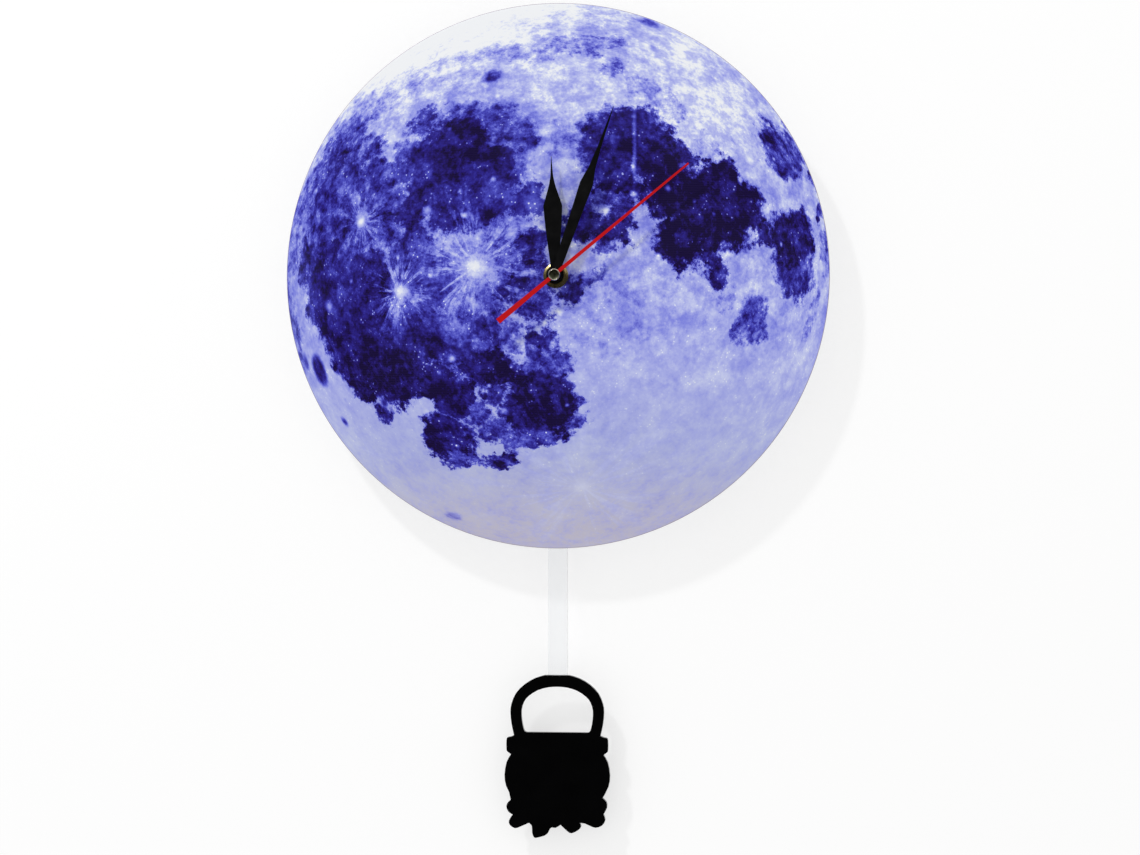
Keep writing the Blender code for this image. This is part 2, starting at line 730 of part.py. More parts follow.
BOARD_BACK = BACK_WALL + BOARD_STANDOFF + SEAT
BOARD_FRONT = BOARD_BACK + BOARD_THICKNESS
BOARD_RIGHT = INNER_HALF - BOARD_INSET
BOARD_LEFT = BOARD_RIGHT - BOARD_WIDTH
BOARD_TOP = BOARD_BOTTOM + BOARD_HEIGHT
STANDOFF_PLACES = [(BOARD_LEFT + STANDOFF_INSET, BOARD_TOP - STANDOFF_INSET),
                   (BOARD_RIGHT - STANDOFF_INSET, BOARD_BOTTOM + STANDOFF_INSET)]
DRIVE_BOARD_LEFT = -DRIVE_HALF + WALL + SEAT
DRIVE_BOARD_TOP = PIVOT[1]
DRIVE_BOARD_RIGHT = DRIVE_BOARD_LEFT + DRIVE_BOARD_WIDTH
DRIVE_BOARD_BOTTOM = DRIVE_BOARD_TOP - DRIVE_BOARD_HEIGHT
DRIVE_STANDOFF_PLACES = [(DRIVE_BOARD_LEFT + STANDOFF_INSET, DRIVE_BOARD_TOP - STANDOFF_INSET),
                         (DRIVE_BOARD_RIGHT - STANDOFF_INSET, DRIVE_BOARD_BOTTOM + STANDOFF_INSET)]

KNOB_FRONT = REAR_RECESS + KNOB_THICKNESS
RECESS_DIAMETER = KNOB_DIAMETER + 2 * RECESS_CLEARANCE
RECESS_FLOOR = KNOB_FRONT + SEAT
RECESS_END = RECESS_FLOOR + WALL

# Depths of the pendulum drive, forward from its coil

DRIVE_BACK = BACK_WALL + SEAT
DRIVE_FRONT = DRIVE_BACK + DRIVE_BOBBIN_THICKNESS
SWING_BACK = DRIVE_FRONT + DRIVE_GAP
SWING_FRONT = SWING_BACK + SWING_MAGNET_THICKNESS
LEVER_BACK = (SWING_BACK + SWING_FRONT - LEVER_THICKNESS) / 2
LEVER_FRONT = LEVER_BACK + LEVER_THICKNESS
ROD_BACK = LEVER_FRONT + SEAT
ROD_FRONT = ROD_BACK + ROD_THICKNESS
BOB_BACK = ROD_FRONT + SEAT
BOB_FRONT = BOB_BACK + BOB_THICKNESS
ROD_TOP = DRIVE_BOTTOM - ROD_BELOW_CASE
ROD_BOTTOM = BOB_TOP - BOB_HANDLE_BAR + SEAT
HOOK_HOLE = (0.0, ROD_TOP - HOOK_BELOW_ROD_TOP)
HOOK_PLACE = (0.0, HOOK_HOLE[1] + HOOK_SLACK - SEAT)

TONGUE_BACK = HANGER_STANDOFF
TONGUE_FRONT = TONGUE_BACK + HANGER_THICKNESS
TONGUE_BOTTOM = ROOM_ABOVE - TONGUE_LENGTH
STRIP_BACK = BOARD_FRONT + SEAT
STRIP_FRONT = CELL_DEPTH + NUB_DIAMETER / 2


def bearing(place, diameter):
    """A boss on the back wall with a blind hole for the rear end of an arbor."""
    seat = raised(circle(diameter + 2 * SLIP, place, SMALL_ROUND), BACK_WALL)
    return raised(circle(BEARING_DIAMETER, place, SMALL_ROUND), BACK_WALL + BEARING_HEIGHT, [seat])


def post(place, diameter, end, bore, bore_end):
    """A round post with a blind hole in its end."""
    hole = raised(circle(bore, place, SMALL_ROUND), bore_end)
    return raised(circle(diameter, place, SMALL_ROUND), end, [hole])


def pegged_post(place):
    """A post that carries the middle plate, with a peg through it."""
    peg = raised(circle(PLATE_PEG_DIAMETER, place, SMALL_ROUND), LAYER["plate"][1] - SEAT)
    return raised(circle(POST_DIAMETER, place, SMALL_ROUND), LAYER["plate"][0] - SEAT, [peg])


def case_outline():
    corners = [(-DRIVE_HALF, DRIVE_BOTTOM, CASE_CORNER), (DRIVE_HALF, DRIVE_BOTTOM, CASE_CORNER),
               (DRIVE_HALF, CASE_BOTTOM, INNER_CORNER), (CASE_HALF, CASE_BOTTOM, CASE_CORNER),
               (CASE_HALF, CASE_TOP, CASE_CORNER), (-CASE_HALF, CASE_TOP, CASE_CORNER),
               (-CASE_HALF, CASE_BOTTOM, CASE_CORNER), (-DRIVE_HALF, CASE_BOTTOM, INNER_CORNER)]
    return filleted(corners)


def rear_housing():
    knob_hole = opening(circle(KNOB_SHAFT_DIAMETER + 2 * SLIP, KNOB_PLACE, SMALL_ROUND),
                        RECESS_FLOOR, RECESS_END)
    recess = raised(circle(RECESS_DIAMETER, KNOB_PLACE), RECESS_FLOOR, [knob_hole[0]])
    recess_boss = raised(circle(RECESS_DIAMETER + 2 * WALL, KNOB_PLACE), RECESS_END, [knob_hole[1]])
    bay = opening(rectangle(-INNER_HALF, INNER_HALF, BAY_BOTTOM, BAY_TOP, INNER_CORNER), 0.0, CASE_FRONT)
    peg_hole = PEG_DIAMETER + 2 * SLIP
    peg_end = PLATE_BACK - PEG_LENGTH - SEAT
    corner_posts = [post(place, CORNER_POST_DIAMETER, CASE_FRONT, peg_hole, peg_end)
                    for place in CORNER_PLACES]
    low_posts = [post(place, CORNER_POST_DIAMETER, CASE_FRONT, peg_hole, peg_end)
                 for place in LOW_CORNER_PLACES]
    motor_posts = [post(place, MOTOR_POST_DIAMETER, STATOR_DEPTHS[0] - SEAT,
                        SCREW_DIAMETER + 2 * SLIP, BACK_WALL + SEAT) for place in MOTOR_SCREW_PLACES]
    standoffs = [raised(circle(STANDOFF_DIAMETER, place, SMALL_ROUND), BOARD_BACK - SEAT)
                 for place in STANDOFF_PLACES]
    drive_standoffs = [raised(circle(STANDOFF_DIAMETER, place, SMALL_ROUND), BOARD_BACK - SEAT)
                       for place in DRIVE_STANDOFF_PLACES]
    bearings = [bearing((0.0, 0.0), ARBOR_DIAMETER), bearing(THIRD_PLACE, ARBOR_DIAMETER),
                bearing(INTERMEDIATE_PLACE, ARBOR_DIAMETER), bearing(ROTOR_PLACE, ROTOR_ARBOR_DIAMETER)]
    tongue_socket = raised(rectangle(-TONGUE_WIDTH / 2 - SOCKET_WALL, TONGUE_WIDTH / 2 + SOCKET_WALL,
                                     TONGUE_BOTTOM - SEAT - SOCKET_FLOOR, ROOM_ABOVE - SEAT),
                           TONGUE_FRONT + SEAT + WALL)
    gear_room = raised(rectangle(-INNER_HALF, INNER_HALF, -ROOM_BELOW, ROOM_ABOVE, INNER_CORNER), BACK_WALL,
                       [recess_boss, tongue_socket] + bearings + corner_posts + motor_posts + standoffs
                       + [pegged_post(place) for place in POST_PLACES])
    pivot_boss = post(PIVOT, PIVOT_BOSS_DIAMETER, LEVER_BACK - LAYER_GAP,
                      PIN_DIAMETER + 2 * SLIP, BACK_WALL)
    coil_stud = raised(circle(COIL_STUD_DIAMETER, SWING_MAGNET, SMALL_ROUND), DRIVE_FRONT - SEAT)
    drive_room = raised(rectangle(-DRIVE_HALF + WALL, DRIVE_HALF - WALL, DRIVE_BOTTOM + WALL, DRIVE_TOP,
                                  INNER_CORNER), BACK_WALL,
                        [pivot_boss, coil_stud] + low_posts + drive_standoffs)
    housing = carved("rear_housing", case_outline(), 0.0, CASE_FRONT, BLACK_PLASTIC,
                     on_back=[recess, bay[0]], on_front=[gear_room, bay[1], drive_room])
    half_tongue = TONGUE_WIDTH / 2 + SEAT
    tongue_slot = (-half_tongue, half_tongue, TONGUE_BACK - SEAT, TONGUE_FRONT + SEAT,
                   TONGUE_BOTTOM - SEAT, CASE_TOP + WALL)
    mouth = (-MOUTH_WIDTH / 2, MOUTH_WIDTH / 2, BACK_WALL, PLATE_BACK + WALL,
             DRIVE_BOTTOM - WALL, DRIVE_BOTTOM + WALL + SEAT)
    strip_slots = []
    for side in (-1, 1):
        inside = side * (INNER_HALF - CONTACT_THICKNESS - 2 * SEAT)
        outside = side * (INNER_HALF - SLIP)
        strip_slots.append((min(inside, outside), max(inside, outside), STRIP_BACK - SEAT,
                            STRIP_FRONT + SEAT, BAY_TOP - WALL, -ROOM_BELOW + WALL))
    reshape(housing, "housing_cuts", [tongue_slot, mouth] + strip_slots, 'DIFFERENCE')


def front_plate():
    collar_seat = PLATE_BACK + BUSH_COLLAR_THICKNESS + SEAT
    bush_hole = opening(circle(BUSH_DIAMETER + 2 * SLIP), collar_seat, PLATE_FRONT)
    collar_pocket = raised(circle(BUSH_COLLAR + 2 * SLIP), collar_seat, [bush_hole[0]])
    stud = raised(circle(STUD_DIAMETER, MINUTE_PLACE, SMALL_ROUND), LAYER["minute"][0] - SEAT)
    pegs = [raised(circle(PEG_DIAMETER, place, SMALL_ROUND), PLATE_BACK - PEG_LENGTH)
            for place in CORNER_PLACES + LOW_CORNER_PLACES]
    pivot_boss = post(PIVOT, PIVOT_BOSS_DIAMETER, LEVER_FRONT + LAYER_GAP,
                      PIN_DIAMETER + 2 * SLIP, PLATE_BACK)
    carved("front_plate", case_outline(), PLATE_BACK, PLATE_FRONT, BLACK_PLASTIC,
           on_back=[collar_pocket, stud, pivot_boss] + pegs, on_front=[bush_hole[1]])


def middle_plate():
    back, front = LAYER["plate"]
    holes = [((0.0, 0.0), ARBOR_DIAMETER), (THIRD_PLACE, ARBOR_DIAMETER),
             (INTERMEDIATE_PLACE, ARBOR_DIAMETER), (ROTOR_PLACE, ROTOR_ARBOR_DIAMETER),
             (KNOB_PLACE, KNOB_SHAFT_DIAMETER)]
    holes += [(place, PLATE_PEG_DIAMETER) for place in POST_PLACES]
    through = [opening(circle(diameter + 2 * SLIP, place, SMALL_ROUND), back, front)
               for place, diameter in holes]
    margin = POST_DIAMETER / 2
    outline = rectangle(-POST_X - margin, POST_X + margin, POST_LOW - margin, POST_HIGH + margin,
                        INNER_CORNER)
    carved("middle_plate", outline, back, front, WHITE_PLASTIC,
           on_back=[hole[0] for hole in through], on_front=[hole[1] for hole in through])


def threaded_bush():
    turned("threaded_bush",
           [(PLATE_BACK, BUSH_COLLAR), (PLATE_BACK + BUSH_COLLAR_THICKNESS, BUSH_COLLAR),
            (PLATE_BACK + BUSH_COLLAR_THICKNESS, BUSH_DIAMETER),
            (BUSH_FRONT - BUSH_CHAMFER, BUSH_DIAMETER), (BUSH_FRONT, BUSH_DIAMETER - 2 * BUSH_CHAMFER),
            (BUSH_FRONT, HOUR_PIPE_DIAMETER + 2 * SLIP), (PLATE_BACK, HOUR_PIPE_DIAMETER + 2 * SLIP)],
           BRASS, ring_shaped=True)


def washer(name, back, thickness, diameter, look):
    bore = BUSH_DIAMETER + 2 * SEAT
    turned(name, [(back, diameter), (back + thickness, diameter), (back + thickness, bore), (back, bore)],
           look, ring_shaped=True)


def dial_disc():
    bore = BUSH_DIAMETER + 2 * SEAT
    inside = DIAL_DIAMETER - 2 * DIAL_CHAMFER
    turned("dial_disc",
           [(DIAL_BACK, DIAL_DIAMETER), (DIAL_FRONT - DIAL_CHAMFER, DIAL_DIAMETER), (DIAL_FRONT, inside),
            (DIAL_FRONT, bore), (DIAL_BACK, bore)],
           MOON_PRINT, count=DIAL_ROUND, ring_shaped=True)


def hex_nut():
    count = 6 * 4
    hexagon = []
    for index in range(count):
        angle = 2 * math.pi * index / count
        from_flat = (angle + math.pi / 6) % (math.pi / 3) - math.pi / 6
        radius = NUT_ACROSS_FLATS / 2 / math.cos(from_flat)
        hexagon.append((radius * math.cos(angle), radius * math.sin(angle)))
    bore = BUSH_DIAMETER + 2 * SLIP
    face = circle(NUT_ACROSS_FLATS - 2 * NUT_CHAMFER, count=count)
    lofted("hex_nut",
           [(NUT_BACK, hexagon), (NUT_FRONT - NUT_CHAMFER, hexagon), (NUT_FRONT, face),
            (NUT_FRONT, circle(bore, count=count)), (NUT_BACK, circle(bore, count=count))],
           BRASS, ring_shaped=True)


def sized(stations, length):
    return [(half_width * length, distance * length) for half_width, distance in stations]


def hour_hand():
    blade = sized(HOUR_POINT, HOUR_LENGTH)
    blade += smooth_run(sized(HOUR_SWELL, HOUR_LENGTH), 2)
    blade += sized(HOUR_FOOT, HOUR_LENGTH)
    hand("hour_hand", HOUR_BACK, HOUR_HUB_DIAMETER, blade, HOUR_PIPE_DIAMETER, HOUR_DIRECTION)


def minute_hand():
    blade = sized(MINUTE_POINT, MINUTE_LENGTH)
    blade += smooth_run(sized(MINUTE_SWELL, MINUTE_LENGTH), 2)
    blade += sized(MINUTE_FOOT, MINUTE_LENGTH)
    hand("minute_hand", MINUTE_BACK, MINUTE_HUB_DIAMETER, blade, MINUTE_PIPE_DIAMETER, MINUTE_DIRECTION)


def hand(name, back, hub_diameter, blade, pipe_diameter, direction):
    """A flat blade with a collar pressed on its pipe."""
    bore = circle(pipe_diameter + 2 * SLIP)
    through = opening(bore, back, back + HAND_HUB_DEPTH)
    collar = raised(circle(pipe_diameter + 2 * COLLAR_WALL), back + HAND_HUB_DEPTH, [through[1]])
    carved(name, hand_outline(hub_diameter, blade), back, back + HAND_THICKNESS, BLACK_PAINT,
           on_back=[through[0]], on_front=[collar], turn=math.radians(direction))


def second_hand():
    blade = sized(SECOND_BLADE, SECOND_LENGTH)
    tail = sized(SECOND_COUNTER, SECOND_TAIL)
    through = opening(circle(CAP_TUBE_DIAMETER + 2 * SLIP, count=SMALL_ROUND), SECOND_BACK, SECOND_FRONT)
    carved("second_hand", hand_outline(SECOND_HUB_DIAMETER, blade, tail), SECOND_BACK, SECOND_FRONT,
           RED_PAINT, on_back=[through[0]], on_front=[through[1]], turn=math.radians(SECOND_DIRECTION))


def second_hand_cap():
    """A tube on the second arbor that ends in a dished disc in front of the blade."""
    bore = ARBOR_DIAMETER + 2 * SLIP
    tube_back = MINUTE_HUB_FRONT + SEAT
    disc_back = SECOND_FRONT + SEAT
    front = disc_back + CAP_HEIGHT
    bore_end = disc_back + SEAT
    turned("second_hand_cap",
           [(bore_end, bore), (tube_back, bore), (tube_back, CAP_TUBE_DIAMETER),
            (disc_back, CAP_TUBE_DIAMETER), (disc_back, CAP_DIAMETER),
            (front - CAP_ROUNDING, CAP_DIAMETER), (front, CAP_DIAMETER - 2 * CAP_ROUNDING),
            (front, CAP_DISH_DIAMETER), (front - CAP_DISH_DEPTH, CAP_DISH_DIAMETER - 2 * CAP_ROUNDING)],
           NICKEL)


def wheel_with_pipe(name, teeth, pitch, layer, pipe_diameter, pipe_front, bore, turn, look):
    gear = gear_outline(teeth, pitch)
    layers = [(layer[0], layer[1], gear, []), (layer[1], pipe_front, circle(pipe_diameter), [])]
    stacked(name, layers, look, bore=circle(bore), turn=turn)


def hour_wheel():
    wheel_with_pipe("hour_wheel", HOUR_TEETH, HOUR_PITCH, LAYER["hour"], HOUR_PIPE_DIAMETER,
                    HOUR_HUB_FRONT, MINUTE_PIPE_DIAMETER + 2 * SLIP, HOUR_TURN, ACETAL)


def cannon_pinion():
    back, front = LAYER["minute"]
    hub = circle(MINUTE_PIPE_DIAMETER)
    layers = [(LAYER["plate"][1] + SEAT, back, hub, []),
              (back, front, gear_outline(CANNON_TEETH, CANNON_PITCH), []),
              (front, MINUTE_HUB_FRONT, hub, [])]
    stacked("cannon_pinion", layers, ACETAL, bore=circle(ARBOR_DIAMETER + 2 * SEAT))


def minute_wheel():
    back, front = LAYER["minute"]
    layers = [(back, front, gear_outline(MINUTE_TEETH, MINUTE_PITCH), lightening(MINUTE_PITCH, 3)),
              (front, LAYER["hour"][1], gear_outline(MINUTE_PINION, MINUTE_PINION_PITCH), [])]
    stacked("minute_wheel", layers, GREEN_ACETAL, bore=circle(STUD_DIAMETER + 2 * SLIP, count=SMALL_ROUND),
            place=MINUTE_PLACE, turn=MINUTE_TURN)


def lightening(pitch_diameter, count):
    """Round holes between the hub and the rim of a wheel."""
    holes = []
    for index in range(count):
        centre = polar(pitch_diameter * HOLE_CIRCLE / 2, 360.0 * (index + 0.5) / count)
        holes.append(circle(pitch_diameter * HOLE_SHARE, centre, SMALL_ROUND))
    return holes


def centre_wheel():
    back, front = LAYER["centre"]
    layers = [(back, front, gear_outline(CENTRE_TEETH, CENTRE_PITCH), lightening(CENTRE_PITCH, 3))]
    stacked("centre_wheel", layers, ACETAL, bore=circle(MINUTE_PIPE_DIAMETER + 2 * SLIP), turn=CENTRE_TURN)


def clutch_spring():
    """A three-armed spring washer that presses the centre wheel against the cannon pinion's hub."""
    back, front = LAYER["clutch"]
    layers = [(back, front, lobed(CLUTCH_DIAMETER, CLUTCH_ARM, 3, 12), [])]
    stacked("clutch_spring", layers, STEEL, bore=circle(MINUTE_PIPE_DIAMETER + 2 * SLIP))


def third_wheel():
    arbor = circle(ARBOR_DIAMETER, count=SMALL_ROUND)
    wheel_back, wheel_front = LAYER["third"]
    pinion_back, pinion_front = LAYER["centre"]
    layers = [(ARBOR_REAR, wheel_back, arbor, []),
              (wheel_back, wheel_front, gear_outline(THIRD_TEETH, THIRD_PITCH), lightening(THIRD_PITCH, 3)),
              (wheel_front, pinion_back, arbor, []),
              (pinion_back, pinion_front, gear_outline(THIRD_PINION, THIRD_PINION_PITCH), []),
              (pinion_front, pinion_front + SEAT, arbor, [])]
    stacked("third_wheel", layers, GREEN_ACETAL, place=THIRD_PLACE, turn=THIRD_TURN)


def second_wheel():
    arbor = circle(ARBOR_DIAMETER, count=SMALL_ROUND)
    back, front = LAYER["second"]
    pinion_front = LAYER["third"][1]
    layers = [(ARBOR_REAR, back, arbor, []),
              (back, front, gear_outline(SECOND_TEETH, SECOND_PITCH), lightening(SECOND_PITCH, 3)),
              (front, pinion_front, gear_outline(SECOND_PINION, SECOND_PINION_PITCH), []),
              (pinion_front, SECOND_FRONT, arbor, [])]
    stacked("second_wheel", layers, ACETAL)


def intermediate_wheel():
    arbor = circle(ARBOR_DIAMETER, count=SMALL_ROUND)
    back, front = LAYER["intermediate"]
    pinion_front = LAYER["second"][1]
    layers = [(ARBOR_REAR, back, arbor, []),
              (back, front, gear_outline(INTERMEDIATE_TEETH, INTERMEDIATE_PITCH),
               lightening(INTERMEDIATE_PITCH, 3)),
              (front, pinion_front, gear_outline(INTERMEDIATE_PINION, INTERMEDIATE_PINION_PITCH), []),
              (pinion_front, ARBOR_FRONT, arbor, [])]
    stacked("intermediate_wheel", layers, GREEN_ACETAL, place=INTERMEDIATE_PLACE, turn=INTERMEDIATE_TURN)


def rotor_pinion():
    arbor = circle(ROTOR_ARBOR_DIAMETER, count=SMALL_ROUND)
    back, front = LAYER["intermediate"]
    layers = [(ARBOR_REAR, back, arbor, []),
              (back, front, gear_outline(ROTOR_TEETH, ROTOR_PITCH), []),
              (front, ARBOR_FRONT, arbor, [])]
    stacked("rotor_pinion", layers, ACETAL, place=ROTOR_PLACE, turn=ROTOR_TURN)


def rotor_magnet():
    back, front = LAYER["magnet"]
    bore = ROTOR_ARBOR_DIAMETER + 2 * SLIP
    turned("rotor_magnet",
           [(back, MAGNET_DIAMETER), (front, MAGNET_DIAMETER), (front, bore), (back, bore)],
           FERRITE, count=2 * SMALL_ROUND, ring_shaped=True, place=ROTOR_PLACE)


def set_knob():
    shaft = circle(KNOB_SHAFT_DIAMETER, count=SMALL_ROUND)
    back, front = LAYER["minute"]
    layers = [(REAR_RECESS, KNOB_FRONT, lobed(KNOB_DIAMETER, KNOB_GRIP_DEPTH, KNOB_GRIPS), []),
              (KNOB_FRONT, back, shaft, []),
              (back, front, gear_outline(CANNON_TEETH, CANNON_PITCH), []),
              (front, PLATE_BACK - SEAT, shaft, [])]
    stacked("set_knob", layers, WHITE_PLASTIC, place=KNOB_PLACE, turn=KNOB_TURN)


def stator():
    back, front = STATOR_DEPTHS
    middle, level = ROTOR_PLACE
    left = middle - CORE_LENGTH / 2
    right = middle + CORE_LENGTH / 2
    top = COIL_LEVEL + CORE_HEIGHT / 2
    outline = filleted([
        (left, level - STATOR_HALF_BAR, STATOR_CORNER), (right, level - STATOR_HALF_BAR, STATOR_CORNER),
        (right, top, STATOR_CORNER), (right - STATOR_FOOT, top, STATOR_CORNER),
        (right - STATOR_FOOT, level + STATOR_HALF_BAR, STATOR_CORNER),
        (left + STATOR_FOOT, level + STATOR_HALF_BAR, STATOR_CORNER),
        (left + STATOR_FOOT, top, STATOR_CORNER), (left, top, STATOR_CORNER)])
    holes = [opening(circle(STATOR_HOLE, ROTOR_PLACE), back, front)]
    holes += [opening(circle(SCREW_DIAMETER + 2 * SLIP, place, SMALL_ROUND), back, front)
              for place in MOTOR_SCREW_PLACES]
    carved("stator", outline, back, front, STEEL,
           on_back=[hole[0] for hole in holes], on_front=[hole[1] for hole in holes])


def motor_core():
    middle = ROTOR_PLACE[0]
    outline = rectangle(middle - CORE_LENGTH / 2, middle + CORE_LENGTH / 2,
                        COIL_LEVEL - CORE_HEIGHT / 2, COIL_LEVEL + CORE_HEIGHT / 2, STATOR_CORNER)
    holes = [opening(circle(SCREW_DIAMETER + 2 * SLIP, place, SMALL_ROUND), CORE_BACK, CORE_FRONT)
             for place in MOTOR_SCREW_PLACES]
    carved("motor_core", outline, CORE_BACK, CORE_FRONT, STEEL,
           on_back=[hole[0] for hole in holes], on_front=[hole[1] for hole in holes])


def motor_screws():
    """Two screws that hold the core and the stator to the posts of the housing."""
    head_back = CORE_FRONT + SEAT
    profile = [(BACK_WALL + 2 * SEAT, SCREW_DIAMETER), (head_back, SCREW_DIAMETER),
               (head_back, SCREW_HEAD_DIAMETER), (head_back + SCREW_HEAD_HEIGHT, SCREW_HEAD_DIAMETER)]
    for side, place in zip(("left", "right"), MOTOR_SCREW_PLACES):
        turned("motor_screw_" + side, profile, STEEL, count=SMALL_ROUND, place=place)


def motor_coil():
    """A flanged bobbin on the core, and its winding, along x."""
    half = BOBBIN_LENGTH / 2
    flange = BOBBIN_FLANGE / 2
    core_depth = STATOR_THICKNESS / 2 + SEAT
    core_height = CORE_HEIGHT / 2 + SEAT
    tube = rectangle(-core_depth - BOBBIN_WALL, core_depth + BOBBIN_WALL,
                     -core_height - BOBBIN_WALL, core_height + BOBBIN_WALL)
    end = rectangle(-flange, flange, -flange, flange, BOBBIN_CORNER)
    seat = dict(place=(ROTOR_PLACE[0], COIL_LEVEL), depth=(CORE_BACK + CORE_FRONT) / 2, along_x=True)
    stacked("motor_bobbin",
            [(-half, FLANGE_THICKNESS - half, end, []),
             (FLANGE_THICKNESS - half, half - FLANGE_THICKNESS, tube, []),
             (half - FLANGE_THICKNESS, half, end, [])],
            WHITE_PLASTIC, bore=rectangle(-core_depth, core_depth, -core_height, core_height), **seat)
    length = half - FLANGE_THICKNESS - SEAT
    inside_x = core_depth + BOBBIN_WALL + SLIP
    inside_z = core_height + BOBBIN_WALL + SLIP
    winding = rectangle(-WINDING_DIAMETER / 2, WINDING_DIAMETER / 2, -WINDING_DIAMETER / 2,
                        WINDING_DIAMETER / 2, WINDING_DIAMETER / 3, 5)
    stacked("motor_winding", [(-length, length, winding, [])], COPPER,
            bore=rectangle(-inside_x, inside_x, -inside_z, inside_z), **seat)


def clock_board():
    board_top = rectangle(BOARD_LEFT, BOARD_RIGHT, BOARD_BOTTOM, BOARD_TOP)
    carved("clock_board", board_top, BOARD_BACK, BOARD_FRONT, BOARD_GREEN)
    middle = ((BOARD_LEFT + BOARD_RIGHT) / 2, (BOARD_BOTTOM + BOARD_TOP) / 2)
    chip_back = BOARD_FRONT + SEAT
    turned("clock_chip",
           [(chip_back, CHIP_DIAMETER), (chip_back + CHIP_HEIGHT / 2, CHIP_SHOULDER),
            (chip_back + CHIP_HEIGHT, CHIP_TOP)],
           BLACK_PLASTIC, count=SMALL_ROUND, place=(middle[0], middle[1] - CHIP_DROP))
    turned("quartz_crystal",
           [(-CRYSTAL_LENGTH / 2, CRYSTAL_DIAMETER), (CRYSTAL_LENGTH / 2, CRYSTAL_DIAMETER)],
           STEEL, count=SMALL_ROUND, place=(middle[0], BOARD_TOP - CRYSTAL_DIAMETER),
           depth=BOARD_FRONT + SEAT + CRYSTAL_DIAMETER / 2, along_x=True)


def power_cell():
    """The cell lies along x, its nub to the right."""
    right = INNER_HALF - 2 * SEAT - CONTACT_THICKNESS - SEAT
    left = right - CELL_LENGTH
    shoulder = right - NUB_HEIGHT
    rim = CELL_DIAMETER - 2 * CELL_ROUNDING
    turned("power_cell",
           [(left, rim), (left + CELL_ROUNDING, CELL_DIAMETER), (shoulder - CELL_ROUNDING, CELL_DIAMETER),
            (shoulder, rim), (shoulder, NUB_DIAMETER), (right, NUB_DIAMETER)],
           CELL_WRAP, place=(0.0, CELL_LEVEL), depth=CELL_DEPTH, along_x=True)


def contacts():
    """Bent strips at the two ends of the cell, and the spring that presses the cell to the right."""
    inside = INNER_HALF - CONTACT_THICKNESS - SEAT
    outside = INNER_HALF - SEAT
    bottom = CELL_LEVEL - CONTACT_LENGTH / 2
    foot = CONTACT_RISE - CONTACT_THICKNESS
    positive = [(inside, bottom), (outside, bottom), (outside, CONTACT_RISE),
                (inside - CONTACT_FOOT, CONTACT_RISE), (inside - CONTACT_FOOT, foot), (inside, foot)]
    carved("contact_positive", positive, STRIP_BACK, STRIP_FRONT, NICKEL)
    tail = -ROOM_BELOW + CONTACT_TAIL
    carved("contact_negative", rectangle(-outside, -inside, bottom, tail), STRIP_BACK, STRIP_FRONT, NICKEL)
    curve = bpy.data.curves.new("contact_spring", 'CURVE')
    curve.dimensions = '3D'
    curve.bevel_depth = SPRING_WIRE / 2
    curve.bevel_resolution = 1
    curve.use_fill_caps = True
    spline = curve.splines.new('POLY')
    count = SPRING_TURNS * SPRING_STEPS
    spline.points.add(count)
    start = -inside + SEAT + SPRING_WIRE / 2
    run = SPRING_LENGTH - SPRING_WIRE
    for index in range(count + 1):
        share = index / count
        angle = 2 * math.pi * SPRING_TURNS * share
        diameter = SPRING_DIAMETER + (SPRING_TIP_DIAMETER - SPRING_DIAMETER) * share - SPRING_WIRE
        spline.points[index].co = (start + run * share, -CELL_DEPTH + diameter / 2 * math.cos(angle),
                                   CELL_LEVEL + diameter / 2 * math.sin(angle), 1.0)
    spring = bpy.data.objects.new("contact_spring", curve)
    bpy.context.collection.objects.link(spring)
    curve.materials.append(make_material("contact_spring", *STEEL))


def pivot_pin():
    turned("pivot_pin", [(BACK_WALL + SEAT, PIN_DIAMETER), (PLATE_BACK - SEAT, PIN_DIAMETER)],
           STEEL, count=SMALL_ROUND, place=PIVOT)


def drive_coil():
    flange = circle(DRIVE_FLANGE_DIAMETER)
    bore = circle(COIL_STUD_DIAMETER + 2 * SLIP, count=SMALL_ROUND)
    core_back = DRIVE_BACK + FLANGE_THICKNESS
    core_front = DRIVE_FRONT - FLANGE_THICKNESS
    stacked("drive_bobbin",
            [(DRIVE_BACK, core_back, flange, []), (core_back, core_front, circle(DRIVE_CORE_DIAMETER), []),
             (core_front, DRIVE_FRONT, flange, [])],
            WHITE_PLASTIC, bore=bore, place=SWING_MAGNET)
    inside = DRIVE_CORE_DIAMETER + 2 * SLIP
    turned("drive_winding",
           [(core_back + SLIP, DRIVE_COIL_DIAMETER), (core_front - SLIP, DRIVE_COIL_DIAMETER),
            (core_front - SLIP, inside), (core_back + SLIP, inside)],
           COPPER, ring_shaped=True, place=SWING_MAGNET)


def drive_board():
    outline = rectangle(DRIVE_BOARD_LEFT, DRIVE_BOARD_RIGHT, DRIVE_BOARD_BOTTOM, DRIVE_BOARD_TOP)
    carved("drive_board", outline, BOARD_BACK, BOARD_FRONT, BOARD_GREEN)
    left = DRIVE_BOARD_LEFT + STANDOFF_INSET
    top = DRIVE_BOARD_TOP - DRIVE_BOARD_HEIGHT / 2
    chip = rectangle(left, left + DRIVE_CHIP, top - DRIVE_CHIP, top)
    carved("drive_chip", chip, BOARD_FRONT + SEAT, BOARD_FRONT + SEAT + CHIP_HEIGHT, BLACK_PLASTIC)


